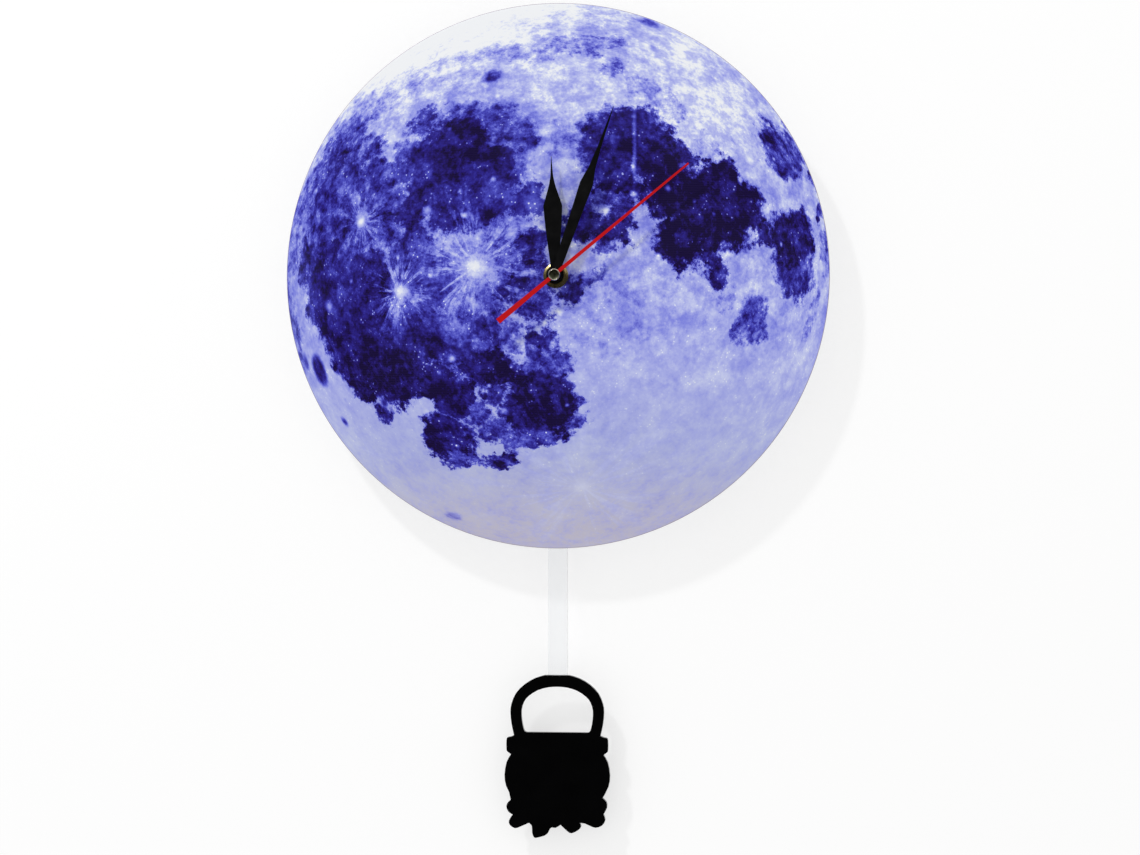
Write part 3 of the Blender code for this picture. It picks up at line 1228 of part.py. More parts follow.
def pendulum_lever(pendulum):
    """A lever that hangs on the pivot pin, holds the magnet and ends in a hook for the rod."""
    ring = SWING_MAGNET_DIAMETER / 2 + SLIP + MAGNET_RIM
    hook_drop = HOOK_PLACE[1] - PIVOT[1]
    outline = beaded_bar([(0.0, LEVER_HUB_DIAMETER / 2), (-MAGNET_DROP, ring),
                          (hook_drop, LEVER_END_DIAMETER / 2)], LEVER_WIDTH / 2)
    pin_hole = opening(circle(PIN_DIAMETER + 2 * SLIP, count=SMALL_ROUND), LEVER_BACK, LEVER_FRONT)
    magnet_hole = opening(circle(SWING_MAGNET_DIAMETER + 2 * SLIP, (0.0, -MAGNET_DROP)),
                          LEVER_BACK, LEVER_FRONT)
    hook_end = ROD_FRONT + SEAT + HOOK_LIP_THICKNESS
    hook = raised(circle(HOOK_DIAMETER, (0.0, hook_drop), SMALL_ROUND), hook_end)
    lever = carved("pendulum_lever", outline, LEVER_BACK, LEVER_FRONT, WHITE_PLASTIC,
                   on_back=[pin_hole[0], magnet_hole[0]], on_front=[pin_hole[1], magnet_hole[1], hook],
                   place=PIVOT, parent=pendulum)
    lip = (-HOOK_LIP_WIDTH / 2, HOOK_LIP_WIDTH / 2, ROD_FRONT + SEAT, hook_end,
           HOOK_PLACE[1], HOOK_PLACE[1] + HOOK_DIAMETER / 2 + HOOK_LIP)
    reshape(lever, "hook_lip", [lip], 'UNION')


def swing_magnet(pendulum):
    inside = SWING_MAGNET_DIAMETER - 2 * MAGNET_CHAMFER
    turned("swing_magnet",
           [(SWING_BACK, inside), (SWING_BACK + MAGNET_CHAMFER, SWING_MAGNET_DIAMETER),
            (SWING_FRONT - MAGNET_CHAMFER, SWING_MAGNET_DIAMETER), (SWING_FRONT, inside)],
           STEEL, place=SWING_MAGNET, parent=pendulum)


def pendulum_rod(pendulum):
    outline = rectangle(-ROD_WIDTH / 2, ROD_WIDTH / 2, ROD_BOTTOM, ROD_TOP, ROD_CORNER)
    hole = opening(circle(HOOK_DIAMETER + 2 * HOOK_SLACK, HOOK_HOLE), ROD_BACK, ROD_FRONT)
    carved("pendulum_rod", outline, ROD_BACK, ROD_FRONT, CLEAR_ACRYLIC,
           on_back=[hole[0]], on_front=[hole[1]], parent=pendulum)


# Half widths of the bob and their distances below its top, for the sides that match
HANDLE_OUTSIDE = [(0.0068, 0.0), (0.0123, 0.0017), (0.0181, 0.0051), (0.0229, 0.0100), (0.0254, 0.0158),
                  (0.0260, 0.0205), (0.0254, 0.0270), (0.0240, 0.0334)]
RIM_SIDE = [(0.0240, 0.0334), (0.0258, 0.0342), (0.0276, 0.0346), (0.0282, 0.0362), (0.0282, 0.0412),
            (0.0276, 0.0425), (0.0257, 0.0439)]
BELLY_SIDE = [(0.0257, 0.0439), (0.0281, 0.0481), (0.0293, 0.0553), (0.0284, 0.0615), (0.0252, 0.0677)]

# The logs and their gaps, round the bottom of the bob from its right to its left
LOG_RUNS = [
    [(0.0252, 0.0677), (0.0273, 0.0698), (0.0276, 0.0730), (0.0257, 0.0767)],
    [(0.0257, 0.0767), (0.0267, 0.0798), (0.0249, 0.0828), (0.0213, 0.0841), (0.0178, 0.0829),
     (0.0133, 0.0809)],
    [(0.0125, 0.0815), (0.0133, 0.0835), (0.0117, 0.0855), (0.0080, 0.0873), (0.0055, 0.0861),
     (0.0019, 0.0827)],
    [(0.0019, 0.0827), (-0.0008, 0.0844), (-0.0028, 0.0842), (-0.0040, 0.0850), (-0.0052, 0.0874),
     (-0.0072, 0.0889)],
    [(-0.0072, 0.0889), (-0.0108, 0.0899), (-0.0128, 0.0899), (-0.0139, 0.0873), (-0.0141, 0.0835),
     (-0.0157, 0.0818)],
    [(-0.0157, 0.0818), (-0.0201, 0.0838), (-0.0235, 0.0849), (-0.0264, 0.0830), (-0.0268, 0.0805),
     (-0.0248, 0.0773)],
    [(-0.0248, 0.0773), (-0.0272, 0.0757), (-0.0283, 0.0727), (-0.0271, 0.0702), (-0.0248, 0.0684)],
]

# The handle's opening, in distances below the bar at its top
HANDLE_INSIDE = [(0.0, 0.0), (0.0048, 0.0003), (0.0108, 0.0020), (0.0159, 0.0053), (0.0185, 0.0086),
                 (0.0198, 0.0131), (0.0196, 0.0185), (0.0187, 0.0232), (0.0178, 0.0249), (0.0162, 0.0253)]


def below(level, points):
    return [(x, level - drop) for x, drop in points]


def bob_outline():
    side = []
    for stretch in (HANDLE_OUTSIDE, RIM_SIDE, BELLY_SIDE):
        side += smooth_run(below(BOB_TOP, stretch), 2)
    logs = []
    for stretch in LOG_RUNS:
        logs += smooth_run(below(BOB_TOP, stretch), 2)
    left_side = [(-x, z) for x, z in reversed(side)]
    return side + logs + left_side


def pendulum_bob(pendulum):
    handle = mirrored(smooth_run(below(BOB_TOP - BOB_HANDLE_BAR, HANDLE_INSIDE), 2))
    hole = opening(handle, BOB_BACK, BOB_FRONT)
    bob = carved("pendulum_bob", bob_outline(), BOB_BACK, BOB_FRONT, BLACK_ACRYLIC,
                 on_back=[hole[0]], on_front=[hole[1]], parent=pendulum)


def hanger():
    half_tongue = TONGUE_WIDTH / 2
    half = HANGER_WIDTH / 2
    foot = CASE_TOP + SEAT
    top = foot + HANGER_HEIGHT
    outline = filleted([(-half_tongue, TONGUE_BOTTOM, 0.0), (half_tongue, TONGUE_BOTTOM, 0.0),
                        (half_tongue, foot, 0.0), (half, foot, HANGER_CORNER),
                        (half, foot + HANGER_SHOULDER, HANGER_CORNER), (half_tongue, top, HANGER_ROUNDING),
                        (-half_tongue, top, HANGER_ROUNDING), (-half, foot + HANGER_SHOULDER, HANGER_CORNER),
                        (-half, foot, HANGER_CORNER), (-half_tongue, foot, 0.0)])
    hole = opening(circle(NAIL_HOLE, (0.0, foot + NAIL_LEVEL)), TONGUE_BACK, TONGUE_FRONT)
    carved("hanger", outline, TONGUE_BACK, TONGUE_FRONT, STEEL, on_back=[hole[0]], on_front=[hole[1]])


def clear_scene():
    for item in list(bpy.data.objects):
        bpy.data.objects.remove(item, do_unlink=True)


def build():
    clear_scene()
    dial_disc()
    washer("rubber_washer", RUBBER_BACK, RUBBER_THICKNESS, RUBBER_DIAMETER, RUBBER)
    washer("dial_washer", WASHER_BACK, WASHER_THICKNESS, WASHER_DIAMETER, BRASS)
    hex_nut()
    threaded_bush()
    hour_hand()
    minute_hand()
    second_hand()
    second_hand_cap()
    rear_housing()
    front_plate()
    middle_plate()
    hanger()
    hour_wheel()
    cannon_pinion()
    clutch_spring()
    minute_wheel()
    centre_wheel()
    third_wheel()
    second_wheel()
    intermediate_wheel()
    rotor_pinion()
    rotor_magnet()
    set_knob()
    stator()
    motor_core()
    motor_screws()
    motor_coil()
    clock_board()
    power_cell()
    contacts()
    pivot_pin()
    drive_coil()
    drive_board()
    pendulum = empty_at("pendulum", PIVOT)
    pendulum_lever(pendulum)
    swing_magnet(pendulum)
    pendulum_rod(pendulum)
    pendulum_bob(pendulum)


build()
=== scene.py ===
"""Pendulum wall clock: its looks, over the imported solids.

Metres. The dial faces -Y, the wall is y = 0, +Z is 12 o'clock and the hands turn about x = z = 0.
"""

import json
import math
from functools import reduce

import bmesh
import bpy
from mathutils import Matrix, Vector


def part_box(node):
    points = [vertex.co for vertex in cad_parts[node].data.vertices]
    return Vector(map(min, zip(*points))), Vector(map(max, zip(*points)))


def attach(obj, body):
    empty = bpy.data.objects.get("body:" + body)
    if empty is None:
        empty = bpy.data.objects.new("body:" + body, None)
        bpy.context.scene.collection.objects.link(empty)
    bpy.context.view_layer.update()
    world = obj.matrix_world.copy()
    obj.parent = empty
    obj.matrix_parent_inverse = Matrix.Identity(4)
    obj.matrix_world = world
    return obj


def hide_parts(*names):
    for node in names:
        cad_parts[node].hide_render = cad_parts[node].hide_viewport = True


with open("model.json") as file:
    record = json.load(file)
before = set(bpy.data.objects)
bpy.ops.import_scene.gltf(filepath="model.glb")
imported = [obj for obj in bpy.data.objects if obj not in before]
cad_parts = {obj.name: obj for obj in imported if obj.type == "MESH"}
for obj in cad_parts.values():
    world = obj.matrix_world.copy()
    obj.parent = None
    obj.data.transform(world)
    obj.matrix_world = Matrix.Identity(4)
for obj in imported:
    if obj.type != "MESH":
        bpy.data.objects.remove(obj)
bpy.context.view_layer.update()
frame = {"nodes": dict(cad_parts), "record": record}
NODES = frame["nodes"]


# Node graphs

class Graph:
    """Nodes of a new material or of a given tree. An input is a value, a node's output, or None."""

    def __init__(self, name="", tree=None):
        self.material = None
        if tree is None:
            self.material = bpy.data.materials.new(name)
            self.material.use_nodes = True
            tree = self.material.node_tree
        self.tree = tree
        self.tree.nodes.clear()

    def node(self, kind, inputs=(), **settings):
        made = self.tree.nodes.new(kind)
        for key, value in settings.items():
            setattr(made, key, value)
        for key, value in dict(inputs).items():
            if value is None:
                continue
            if isinstance(value, bpy.types.NodeSocket):
                self.tree.links.new(value, made.inputs[key])
            else:
                made.inputs[key].default_value = value
        return made

    def math(self, operation, a, b=None, c=None, clamp=False):
        return self.node("ShaderNodeMath", {0: a, 1: b, 2: c}, operation=operation,
                         use_clamp=clamp).outputs[0]

    def add(self, a, b):
        return self.math("ADD", a, b)

    def minus(self, a, b):
        return self.math("SUBTRACT", a, b)

    def times(self, a, b):
        return self.math("MULTIPLY", a, b)

    def most(self, a, b):
        return self.math("MAXIMUM", a, b)

    def apart(self, a, b):
        return self.math("ABSOLUTE", self.minus(a, b))

    def swing(self, noise, amount):
        """The noise about its middle, as a number about zero."""
        return self.times(self.minus(noise, 0.5), amount)

    def vector(self, operation, a, b=None, scale=None):
        made = self.node("ShaderNodeVectorMath", {0: a, 1: b, "Scale": scale}, operation=operation)
        return made.outputs["Value" if operation in ("LENGTH", "DISTANCE", "DOT_PRODUCT") else "Vector"]

    def combine(self, x, y, z):
        return self.node("ShaderNodeCombineXYZ", {0: x, 1: y, 2: z}).outputs[0]

    def separate(self, vector):
        return self.node("ShaderNodeSeparateXYZ", {0: vector}).outputs

    def mapping(self, vector, scale, turn=(0, 0, 0)):
        return self.node("ShaderNodeMapping",
                         {"Vector": vector, "Rotation": turn, "Scale": scale}).outputs[0]

    def span(self, value, low, high, to_low=0.0, to_high=1.0, kind='SMOOTHSTEP'):
        """The value's way from low to high, as a number from to_low to to_high."""
        return self.node("ShaderNodeMapRange",
                         {"Value": value, "From Min": low, "From Max": high, "To Min": to_low,
                          "To Max": to_high}, interpolation_type=kind, clamp=kind == 'LINEAR').outputs[0]

    def gloss(self, noise, low, high):
        """A roughness from low to high over the common part of a noise."""
        return self.span(noise, 0.3, 0.7, low, high, 'LINEAR')

    def mix(self, factor, a, b):
        return self.node("ShaderNodeMix", {0: factor, 6: a, 7: b}, data_type='RGBA').outputs[2]

    def blend_values(self, factor, a, b):
        return self.node("ShaderNodeMix", {0: factor, 2: a, 3: b}, data_type='FLOAT').outputs[0]

    def ramp(self, value, stops):
        made = self.node("ShaderNodeValToRGB", {0: value})
        elements = made.color_ramp.elements
        while len(elements) < len(stops):
            elements.new(0.5)
        for element, (at, colour) in zip(elements, stops):
            element.position = at
            element.color = (*colour, 1.0)
        return made.outputs[0]

    def noise(self, vector, scale, detail, roughness, colour=False):
        made = self.node("ShaderNodeTexNoise", {"Vector": vector, "Scale": scale, "Detail": detail,
                                                "Roughness": roughness})
        return made.outputs["Color" if colour else "Fac"]

    def cells(self, vector, scale, randomness=1.0):
        return self.node("ShaderNodeTexVoronoi", {"Vector": vector, "Scale": scale,
                                                  "Randomness": randomness}).outputs["Distance"]

    def place(self):
        return self.node("ShaderNodeTexCoord").outputs["Object"]

    def bump(self, height, strength, distance, normal=None):
        return self.node("ShaderNodeBump", {"Height": height, "Strength": strength, "Distance": distance,
                                            "Normal": normal}).outputs[0]

    def end(self, shader, kind="ShaderNodeOutputMaterial"):
        self.tree.links.new(shader.outputs[0], self.node(kind).inputs[0])
        return self.material

    def finish(self, colour, roughness, normal=None, **sockets):
        """A Principled shader: the words are its sockets' names with _ for each blank."""
        inputs = {"Base Color": colour, "Roughness": roughness, "Normal": normal}
        inputs.update({name.replace("_", " "): value for name, value in sockets.items()})
        return self.end(self.node("ShaderNodeBsdfPrincipled", inputs))


def srgb(red, green, blue):
    """A colour of 0 to 255 per channel as linear light."""
    def linear(value):
        value /= 255.0
        return value / 12.92 if value <= 0.04045 else ((value + 0.055) / 1.055) ** 2.4
    return (linear(red), linear(green), linear(blue))


def rgba(red, green, blue):
    return (*srgb(red, green, blue), 1.0)


def dress(name, material):
    """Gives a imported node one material."""
    mesh = NODES[name].data
    mesh.materials.clear()
    mesh.materials.append(material)


# The printed Moon, in the Moon's own latitudes and longitudes

# How the print lies on the disc: its middle and radius in metres, and its turn in degrees
MOON_X = 0.0020
MOON_Z = -0.0004
MOON_RADIUS = 0.1572
MOON_TILT = 3.9
MOON_SWING = -3.5
MOON_ROLL = 13.6

# Dark plains and floors: latitude, longitude, reach east to west, reach north to south, tone
PLAINS = [
    # Procellarum
    (21, -57, 12, 13, 0.68), (9, -50, 12, 9, 0.86), (9, -61, 6, 9, 0.92), (22, -76, 5, 10, 0.5),
    (4, -78, 5, 9, 0.5), (33, -60, 9, 9, 0.72), (43, -62, 8, 7, 0.68), (51, -57, 8, 4, 0.58),
    (24, -42, 8, 8, 0.62), (0, -52, 10, 9, 0.96), (-5, -44, 9, 6, 0.97), (0, -36, 7, 7, 0.86),
    (-9, -53, 6, 5, 0.95), (-12, -44, 6, 4, 0.92), (-3, -30, 8, 5, 0.74), (14, -33, 7, 7, 0.76),
    (33, -46, 4.4, 4, 0.72), (16, -67, 4.4, 5, 0.7), (33, -70, 5, 7, 0.5), (12.4, -68.3, 3, 3, 0.6),
    (18.8, -57.9, 4, 4, 0.92), (37.7, -36.3, 3, 3, 0.6), (33, -35.6, 3, 3, 0.8),
    (23.2, -34, 4, 4, 0.85), (33.3, -39.6, 4, 3.6, 0.7), (40, -48.7, 3.6, 3.6, 0.65),
    (-16.5, -51, 3, 2.4, 0.7),
    # Imbrium and Iridum
    (33, -18.5, 14.6, 12.4, 0.62), (36, -24, 9, 7, 0.93), (28, -26, 9, 7, 0.86),
    (23, -18, 11, 6, 0.86), (25.5, -12, 4.6, 4.6, 0.8), (30, -14, 7, 5, 0.9),
    (44, -31.5, 4.4, 3.6, 0.68), (20, -6.5, 4, 3, 0.85),
    # Aestuum, Vaporum and Medii
    (12.6, -7.4, 3.6, 3.4, 0.85), (8, -7.8, 3, 2.8, 0.9), (13.3, 3.6, 4.6, 3.6, 0.88),
    (2, 1, 5.5, 2.4, 0.5), (10.4, 7.7, 3.6, 3, 0.85), (17, 9, 4, 3, 0.6), (9.5, 11, 3, 2.6, 0.8),
    (19.4, -5.4, 4, 3, 0.95), (7.2, 6.7, 2.4, 2.2, 0.66), (22.4, -3.6, 2.6, 2.6, 0.8),
    (17, 15.3, 3.4, 3, 0.85), (13.5, 12, 3, 3, 0.7),
    # Serenitatis
    (26.7, 18, 10.6, 9, 0.86), (20, 12, 4, 4, 0.95), (20, 24, 6, 4, 0.97), (31.5, 24, 4.5, 3.2, 0.9),
    (25, 28.6, 3.4, 3.4, 0.85),
    # Tranquillitatis
    (12, 29, 9, 7, 0.99), (5, 26, 8, 5, 0.97), (8.2, 37, 9, 7.8, 0.99), (15, 36, 7, 4.2, 0.98),
    (3.6, 41, 4, 3, 0.9), (1.2, 42.6, 3, 3, 0.92), (14, 22, 5, 5, 0.96), (1.2, 25.5, 3, 2.6, 0.8),
    (0.6, 22.4, 2.6, 2, 0.88), (21.3, 30.7, 3, 3, 0.8), (-2.6, 28.5, 3.2, 3.6, 0.8),
    # Nectaris and Fecunditatis
    (-15.6, 36, 4.6, 5.2, 0.55), (-2, 52, 8, 7, 0.84), (-8, 51, 7, 6, 0.72), (-6, 64, 2.2, 5, 0.45),
    (-16, 58, 3, 4, 0.4), (-20, 54.5, 2.4, 3, 0.4),
    # Crisium and the eastern limb
    (15.4, 60, 8, 6.2, 0.63), (1, 65, 2.4, 2, 0.75), (7.5, 68.5, 3, 2.4, 0.72), (-2, 86, 6, 6, 0.7),
    (13, 86, 5, 5, 0.6), (22.4, 67.6, 1.2, 3, 0.55), (56, 80, 4, 4, 0.55), (-39, 84, 3, 9, 0.35),
    # Frigoris and Somniorum
    (55, -46, 8, 3.4, 0.5), (58, -30, 9, 2.6, 0.44), (59, -12, 9, 2.6, 0.44), (57, 5, 9, 2.8, 0.38),
    (55, 18, 8, 3, 0.42), (52, 30, 6, 3, 0.5), (37, 31, 6, 4, 0.36), (45, 27, 3, 2.5, 0.45),
    # Insularum, Cognitum, Nubium and Humorum
    (7, -28, 6, 6, 0.72), (2, -22, 6, 4, 0.55), (-10, -23, 6, 5, 0.97), (-5, -17, 4, 3, 0.55),
    (-18, -13.5, 6, 5.6, 0.88), (-13, -8, 4, 4, 0.66), (-23, -14, 7, 5, 0.96),
    (-22, -19, 4.6, 4.4, 0.84), (-28, -20, 6, 3, 0.66), (-24, -37.4, 5.6, 5.6, 0.97),
    (-31.5, -28, 5, 2.3, 0.78), (-16, -34, 4, 4, 0.88), (-3, -24, 5, 4, 0.7),
    (-10.8, -36.8, 9, 4.4, 0.96), (-15, -31.5, 5, 4, 0.96), (-12.9, -20.4, 6, 3, 0.88),
    (-11, -12, 4, 3.6, 0.64), (5, -14.2, 3.2, 2.2, 0.84), (2, -8.7, 3.4, 2.6, 0.74),
    (0.8, -2.1, 3, 2.6, 0.78), (-24.4, -25.6, 3.6, 2.8, 0.6), (-1, -29.3, 5, 2.8, 0.7),
    (-7, -28, 4, 3, 0.5), (-19.5, -28.6, 3.4, 3.4, 0.6), (-24.2, -32.5, 3, 3, 0.7),
    (-29, -14.6, 4, 2.4, 0.8), (-26, -8, 3, 2.4, 0.55), (-1.2, -11.6, 3, 3, 0.75),
    (-7.7, -10.4, 3, 3, 0.75), (2.8, -15.1, 3, 2.4, 0.75), (-17, -23, 3, 2.4, 0.7),
    (-29, -36, 3, 2.4, 0.6), (8, -20, 12, 9, 0.58), (15, -12, 6, 5, 0.5), (5, -9, 6, 4, 0.5),
    (-2.3, -19.4, 3, 2.6, 0.78), (-29.4, -39.2, 3, 2.6, 0.7), (-1.7, -8.2, 3, 2.6, 0.7),
    (2.4, -14.2, 3.6, 3, 0.95),
    # Half-tones on the highlands
    (32, 3.5, 4, 6, 0.34), (-8.8, 29.8, 3, 3, 0.32), (21.2, 37.7, 3, 3, 0.32), (33, 33.5, 4, 5, 0.4),
    (-7, 5, 9, 9, 0.24),
]

# Dark crater floors, as above
FLOORS = [
    (51.6, -9.4, 1.7, 1.6, 0.8), (-5.2, -68.6, 2.6, 3.2, 0.97), (-3, -74.5, 1.4, 1.6, 0.6),
    (-16.7, -67, 0.9, 0.9, 0.75), (-13.8, -50.1, 0.9, 0.9, 0.9), (53.9, 57, 1.9, 1.9, 0.7),
    (-44.4, -55, 2.4, 1.6, 0.3), (46.7, 44.4, 0.9, 0.9, 0.45),
]

# Systems of rays: latitude, longitude, reach, strength, strands, reach of the bright middle
RAYS = [
    (-43.3, -11.2, 56, 0.34, 6.5, 3.0), (9.7, -20.0, 21, 1.0, 4.0, 5.0),
    (8.1, -38.0, 13, 0.9, 4.5, 2.6), (23.7, -47.4, 12, 0.75, 4.0, 2.6),
    (16.1, 46.8, 10, 0.35, 3.0, 1.0), (-9.0, 61.0, 8, 0.3, 4.0, 2.0),
    (-32.0, 54.0, 17, 0.3, 4.0, 1.6), (73.4, -10.1, 20, 0.35, 3.5, 2.0),
    (-24.5, -63.7, 11, 0.3, 3.5, 1.2),
]

# Small bright craters: latitude, longitude, reach, strength
SPOTS = [
    (9.7, -20.0, 2.6, 0.95), (8.1, -38.0, 1.6, 0.9), (23.7, -47.4, 1.3, 1.0), (-43.3, -11.2, 2.2, 0.5),
    (20.5, -20.6, 0.8, 0.85), (26.7, -13.1, 0.7, 0.6), (25.8, -21.0, 0.6, 0.5), (23.3, -29.2, 1.1, 0.7),
    (14.5, -11.3, 1.4, 0.45), (29.7, -4.0, 2.0, 0.4), (33.9, 1.2, 1.5, 0.6), (30.7, 1.5, 1.1, 0.55),
    (45.8, -8.8, 0.7, 0.8), (48.0, -25.0, 0.6, 0.6), (46.5, -16.0, 0.8, 0.55), (40.4, -23.0, 0.6, 0.3),
    (21.8, 17.9, 0.5, 0.7), (16.2, 16.0, 0.9, 0.85), (14.5, 9.1, 1.1, 0.85), (15.4, 23.7, 0.9, 0.55),
    (2.8, 17.3, 0.8, 0.8), (50.2, 17.4, 1.6, 0.35), (44.3, 16.3, 1.3, 0.4), (61.8, 50.3, 1.5, 0.6),
    (-0.4, 32.7, 0.7, 0.8), (5.6, 46.5, 1.4, 0.45), (14.6, 54.7, 0.5, 0.6), (18.3, 53.5, 0.5, 0.5),
    (-1.9, 47.6, 0.5, 0.7), (-11.4, 26.4, 2.0, 0.35), (-3.2, -5.2, 0.7, 0.75), (-4.4, -8.6, 0.8, 0.7),
    (-22.4, -8.5, 0.5, 0.5), (-7.4, -29.5, 0.9, 0.75), (-0.3, -26.6, 0.9, 0.5), (3.3, -22.8, 1.0, 0.5),
    (-20.7, -22.2, 1.1, 0.6), (-14.5, -23.5, 0.6, 0.7), (21.0, -66.6, 0.9, 0.6), (31.8, -67.7, 0.9, 0.7),
    (7.5, -59.0, 1.3, 0.55), (11.9, -50.8, 0.6, 0.5), (14.9, -37.3, 0.5, 0.8), (27.6, -34.3, 0.6, 0.6),
    (10.0, -30.2, 0.6, 0.8), (52.6, -43.4, 0.9, 0.5), (17.6, -10.8, 0.8, 0.3), (-9.8, -33.4, 0.6, 0.5),
    (-17.5, -39.9, 0.9, 0.5), (-26.3, -36.6, 0.5, 0.5), (-11.6, -17.5, 0.6, 0.5), (16.1, 46.8, 1.1, 0.8),
    (-16.5, 61.0, 1.4, 0.4), (-8.9, 61.1, 1.7, 0.35), (26.2, 3.6, 2.4, 0.35), (19.5, -5.0, 3.0, 0.35),
    (-1.5, 11.5, 1.2, 0.4), (12.7, 46.0, 0.9, 0.4), (7.8, 32.0, 0.5, 0.35), (11.3, 28.5, 0.4, 0.35),
]


# Places on the print, in radii across and up
BRIGHT_EAST = (0.46, 0.60, 0.0)
BRIGHT_NORTH = (0.04, 0.69, 0.0)
STREAK_ACROSS = 0.262
STREAK_UP = 0.46
# Direction of the painted glare, a reflection painted into the print's colour toward the upper left rim
TOWARD_PAINTED_GLARE = (-0.40, 0.92, 0.0)

# A place this near the limb needs the far side shut out, which the weight does
NEAR_LIMB = 0.3
FAR_WEIGHT = 3.0

MOON_TONES = [
    (0.00, srgb(18, 5, 58)), (0.10, srgb(30, 15, 104)), (0.24, srgb(44, 36, 150)),
    (0.42, srgb(78, 80, 204)), (0.60, srgb(132, 138, 236)), (0.76, srgb(176, 182, 246)),
    (0.88, srgb(210, 216, 252)), (0.95, srgb(238, 242, 254)), (1.00, srgb(250, 252, 255)),
]


def moon_frame():
    """Turns a direction from the Moon's middle into the print's right, up and outward."""
    tilt = Matrix.Rotation(math.radians(MOON_TILT), 3, 'X')
    swing = Matrix.Rotation(-math.radians(MOON_SWING), 3, 'Y')
    roll = Matrix.Rotation(math.radians(MOON_ROLL), 3, 'Z')
    return roll @ tilt @ swing


TO_PRINT = moon_frame()


def on_moon(latitude, longitude):
    """East, north and outward at a place on the Moon, as the print shows them."""
    lat, lon = math.radians(latitude), math.radians(longitude)
    east = Vector((math.cos(lon), 0.0, -math.sin(lon)))
    north = Vector((-math.sin(lat) * math.sin(lon), math.cos(lat), -math.sin(lat) * math.cos(lon)))
    outward = Vector((math.cos(lat) * math.sin(lon), math.sin(lat), math.cos(lat) * math.cos(lon)))
    return TO_PRINT @ east, TO_PRINT @ north, TO_PRINT @ outward


def local(graph, point, latitude, longitude, east, north):
    """The point as seen from a place on the Moon, in reaches east and north given in degrees."""
    to_east, to_north, outward = on_moon(latitude, longitude)
    x = graph.vector("DOT_PRODUCT", point, tuple(to_east / math.sin(math.radians(east))))
    y = graph.vector("DOT_PRODUCT", point, tuple(to_north / math.sin(math.radians(north))))
    away = 0.0
    if outward.z < NEAR_LIMB:
        away = graph.minus(FAR_WEIGHT, graph.vector("DOT_PRODUCT", point, tuple(FAR_WEIGHT * outward)))
    return graph.combine(x, y, away)


# Each of these compares a place as soon as it is made, since a shader holds few values at a time

def plains(graph, point, places):
    """How dark the places are, from 0 on the highlands to 1 on the darkest plain."""
    def plain(latitude, longitude, east, north, tone):
        way = graph.vector("LENGTH", local(graph, point, latitude, longitude, east, north))
        soft = 0.16 + 0.7 / math.sqrt(east * north)
        return graph.span(way, 1 + soft, 1 - soft, 0.0, tone)
    return reduce(graph.most, (plain(*place) for place in places))


def rays(graph, point):
    """Strands of noise about each young crater that fade outward, and its bright middle."""
    def system(latitude, longitude, reach, strength, strands, middle):
        flat = local(graph, point, latitude, longitude, reach, reach)
        way = graph.vector("LENGTH", flat)
        seed = 7.0 + latitude * 0.37
        around = graph.vector("ADD", graph.vector("NORMALIZE", flat), (seed, seed, 0.0))
        along = graph.vector("ADD", around, graph.combine(0.0, 0.0, graph.times(way, 0.35)))
        strand = graph.span(graph.noise(along, strands, 5.0, 0.68), 0.45, 0.61)
        core = graph.span(way, 0.0, 2.0 * middle / reach, 0.85, 0.0)
        fall = graph.span(way, 0.02, 1.0, 1.0, 0.0, 'SMOOTHERSTEP')
        return graph.times(graph.times(graph.most(strand, core), fall), strength)
    return reduce(graph.most, (system(*place) for place in RAYS))


def spots(graph, point):
    def spot(latitude, longitude, reach, strength):
        way = graph.vector("DISTANCE", point, tuple(on_moon(latitude, longitude)[2]))
        return graph.span(way, 0.0, 1.35 * math.radians(reach), strength, 0.0)
    return reduce(graph.most, (spot(*place) for place in SPOTS))


def darkness(graph, ball, coast, near):
    """From 0 on the highlands to 1 in the plains, whose shores a noise breaks up."""
    shore = graph.noise(ball, 24.0, 7.0, 0.74)
    dark = plains(graph, coast, PLAINS)
    between = graph.times(dark, graph.minus(1.12, dark))
    breaks = graph.times(graph.minus(shore, 0.5), graph.times(between, 4.8))
    dark = graph.span(graph.add(dark, breaks), 0.1, 1.0)
    return graph.most(dark, plains(graph, near, FLOORS))


def craters(graph, tone, near, dark, patches):
    """The tone with bright spots, small pits with rims, and specks, which show most on the plains."""
    tone = graph.add(tone, graph.times(spots(graph, near), graph.minus(1.0, tone)))
    pits = graph.cells(near, 46.0)
    rim = graph.minus(graph.span(pits, 0.05, 0.22, 1.0, 0.0), graph.span(pits, 0.0, 0.12, 1.3, 0.0))
    tone = graph.add(tone, graph.times(rim, 0.10))
    speck = graph.span(graph.cells(near, 64.0), 0.12, 0.25, 0.5, 0.0)
    speck = graph.times(speck, graph.math("MULTIPLY_ADD", dark, 0.7, 0.3))
    return graph.add(tone, graph.times(speck, graph.span(patches, 0.5, 0.6)))


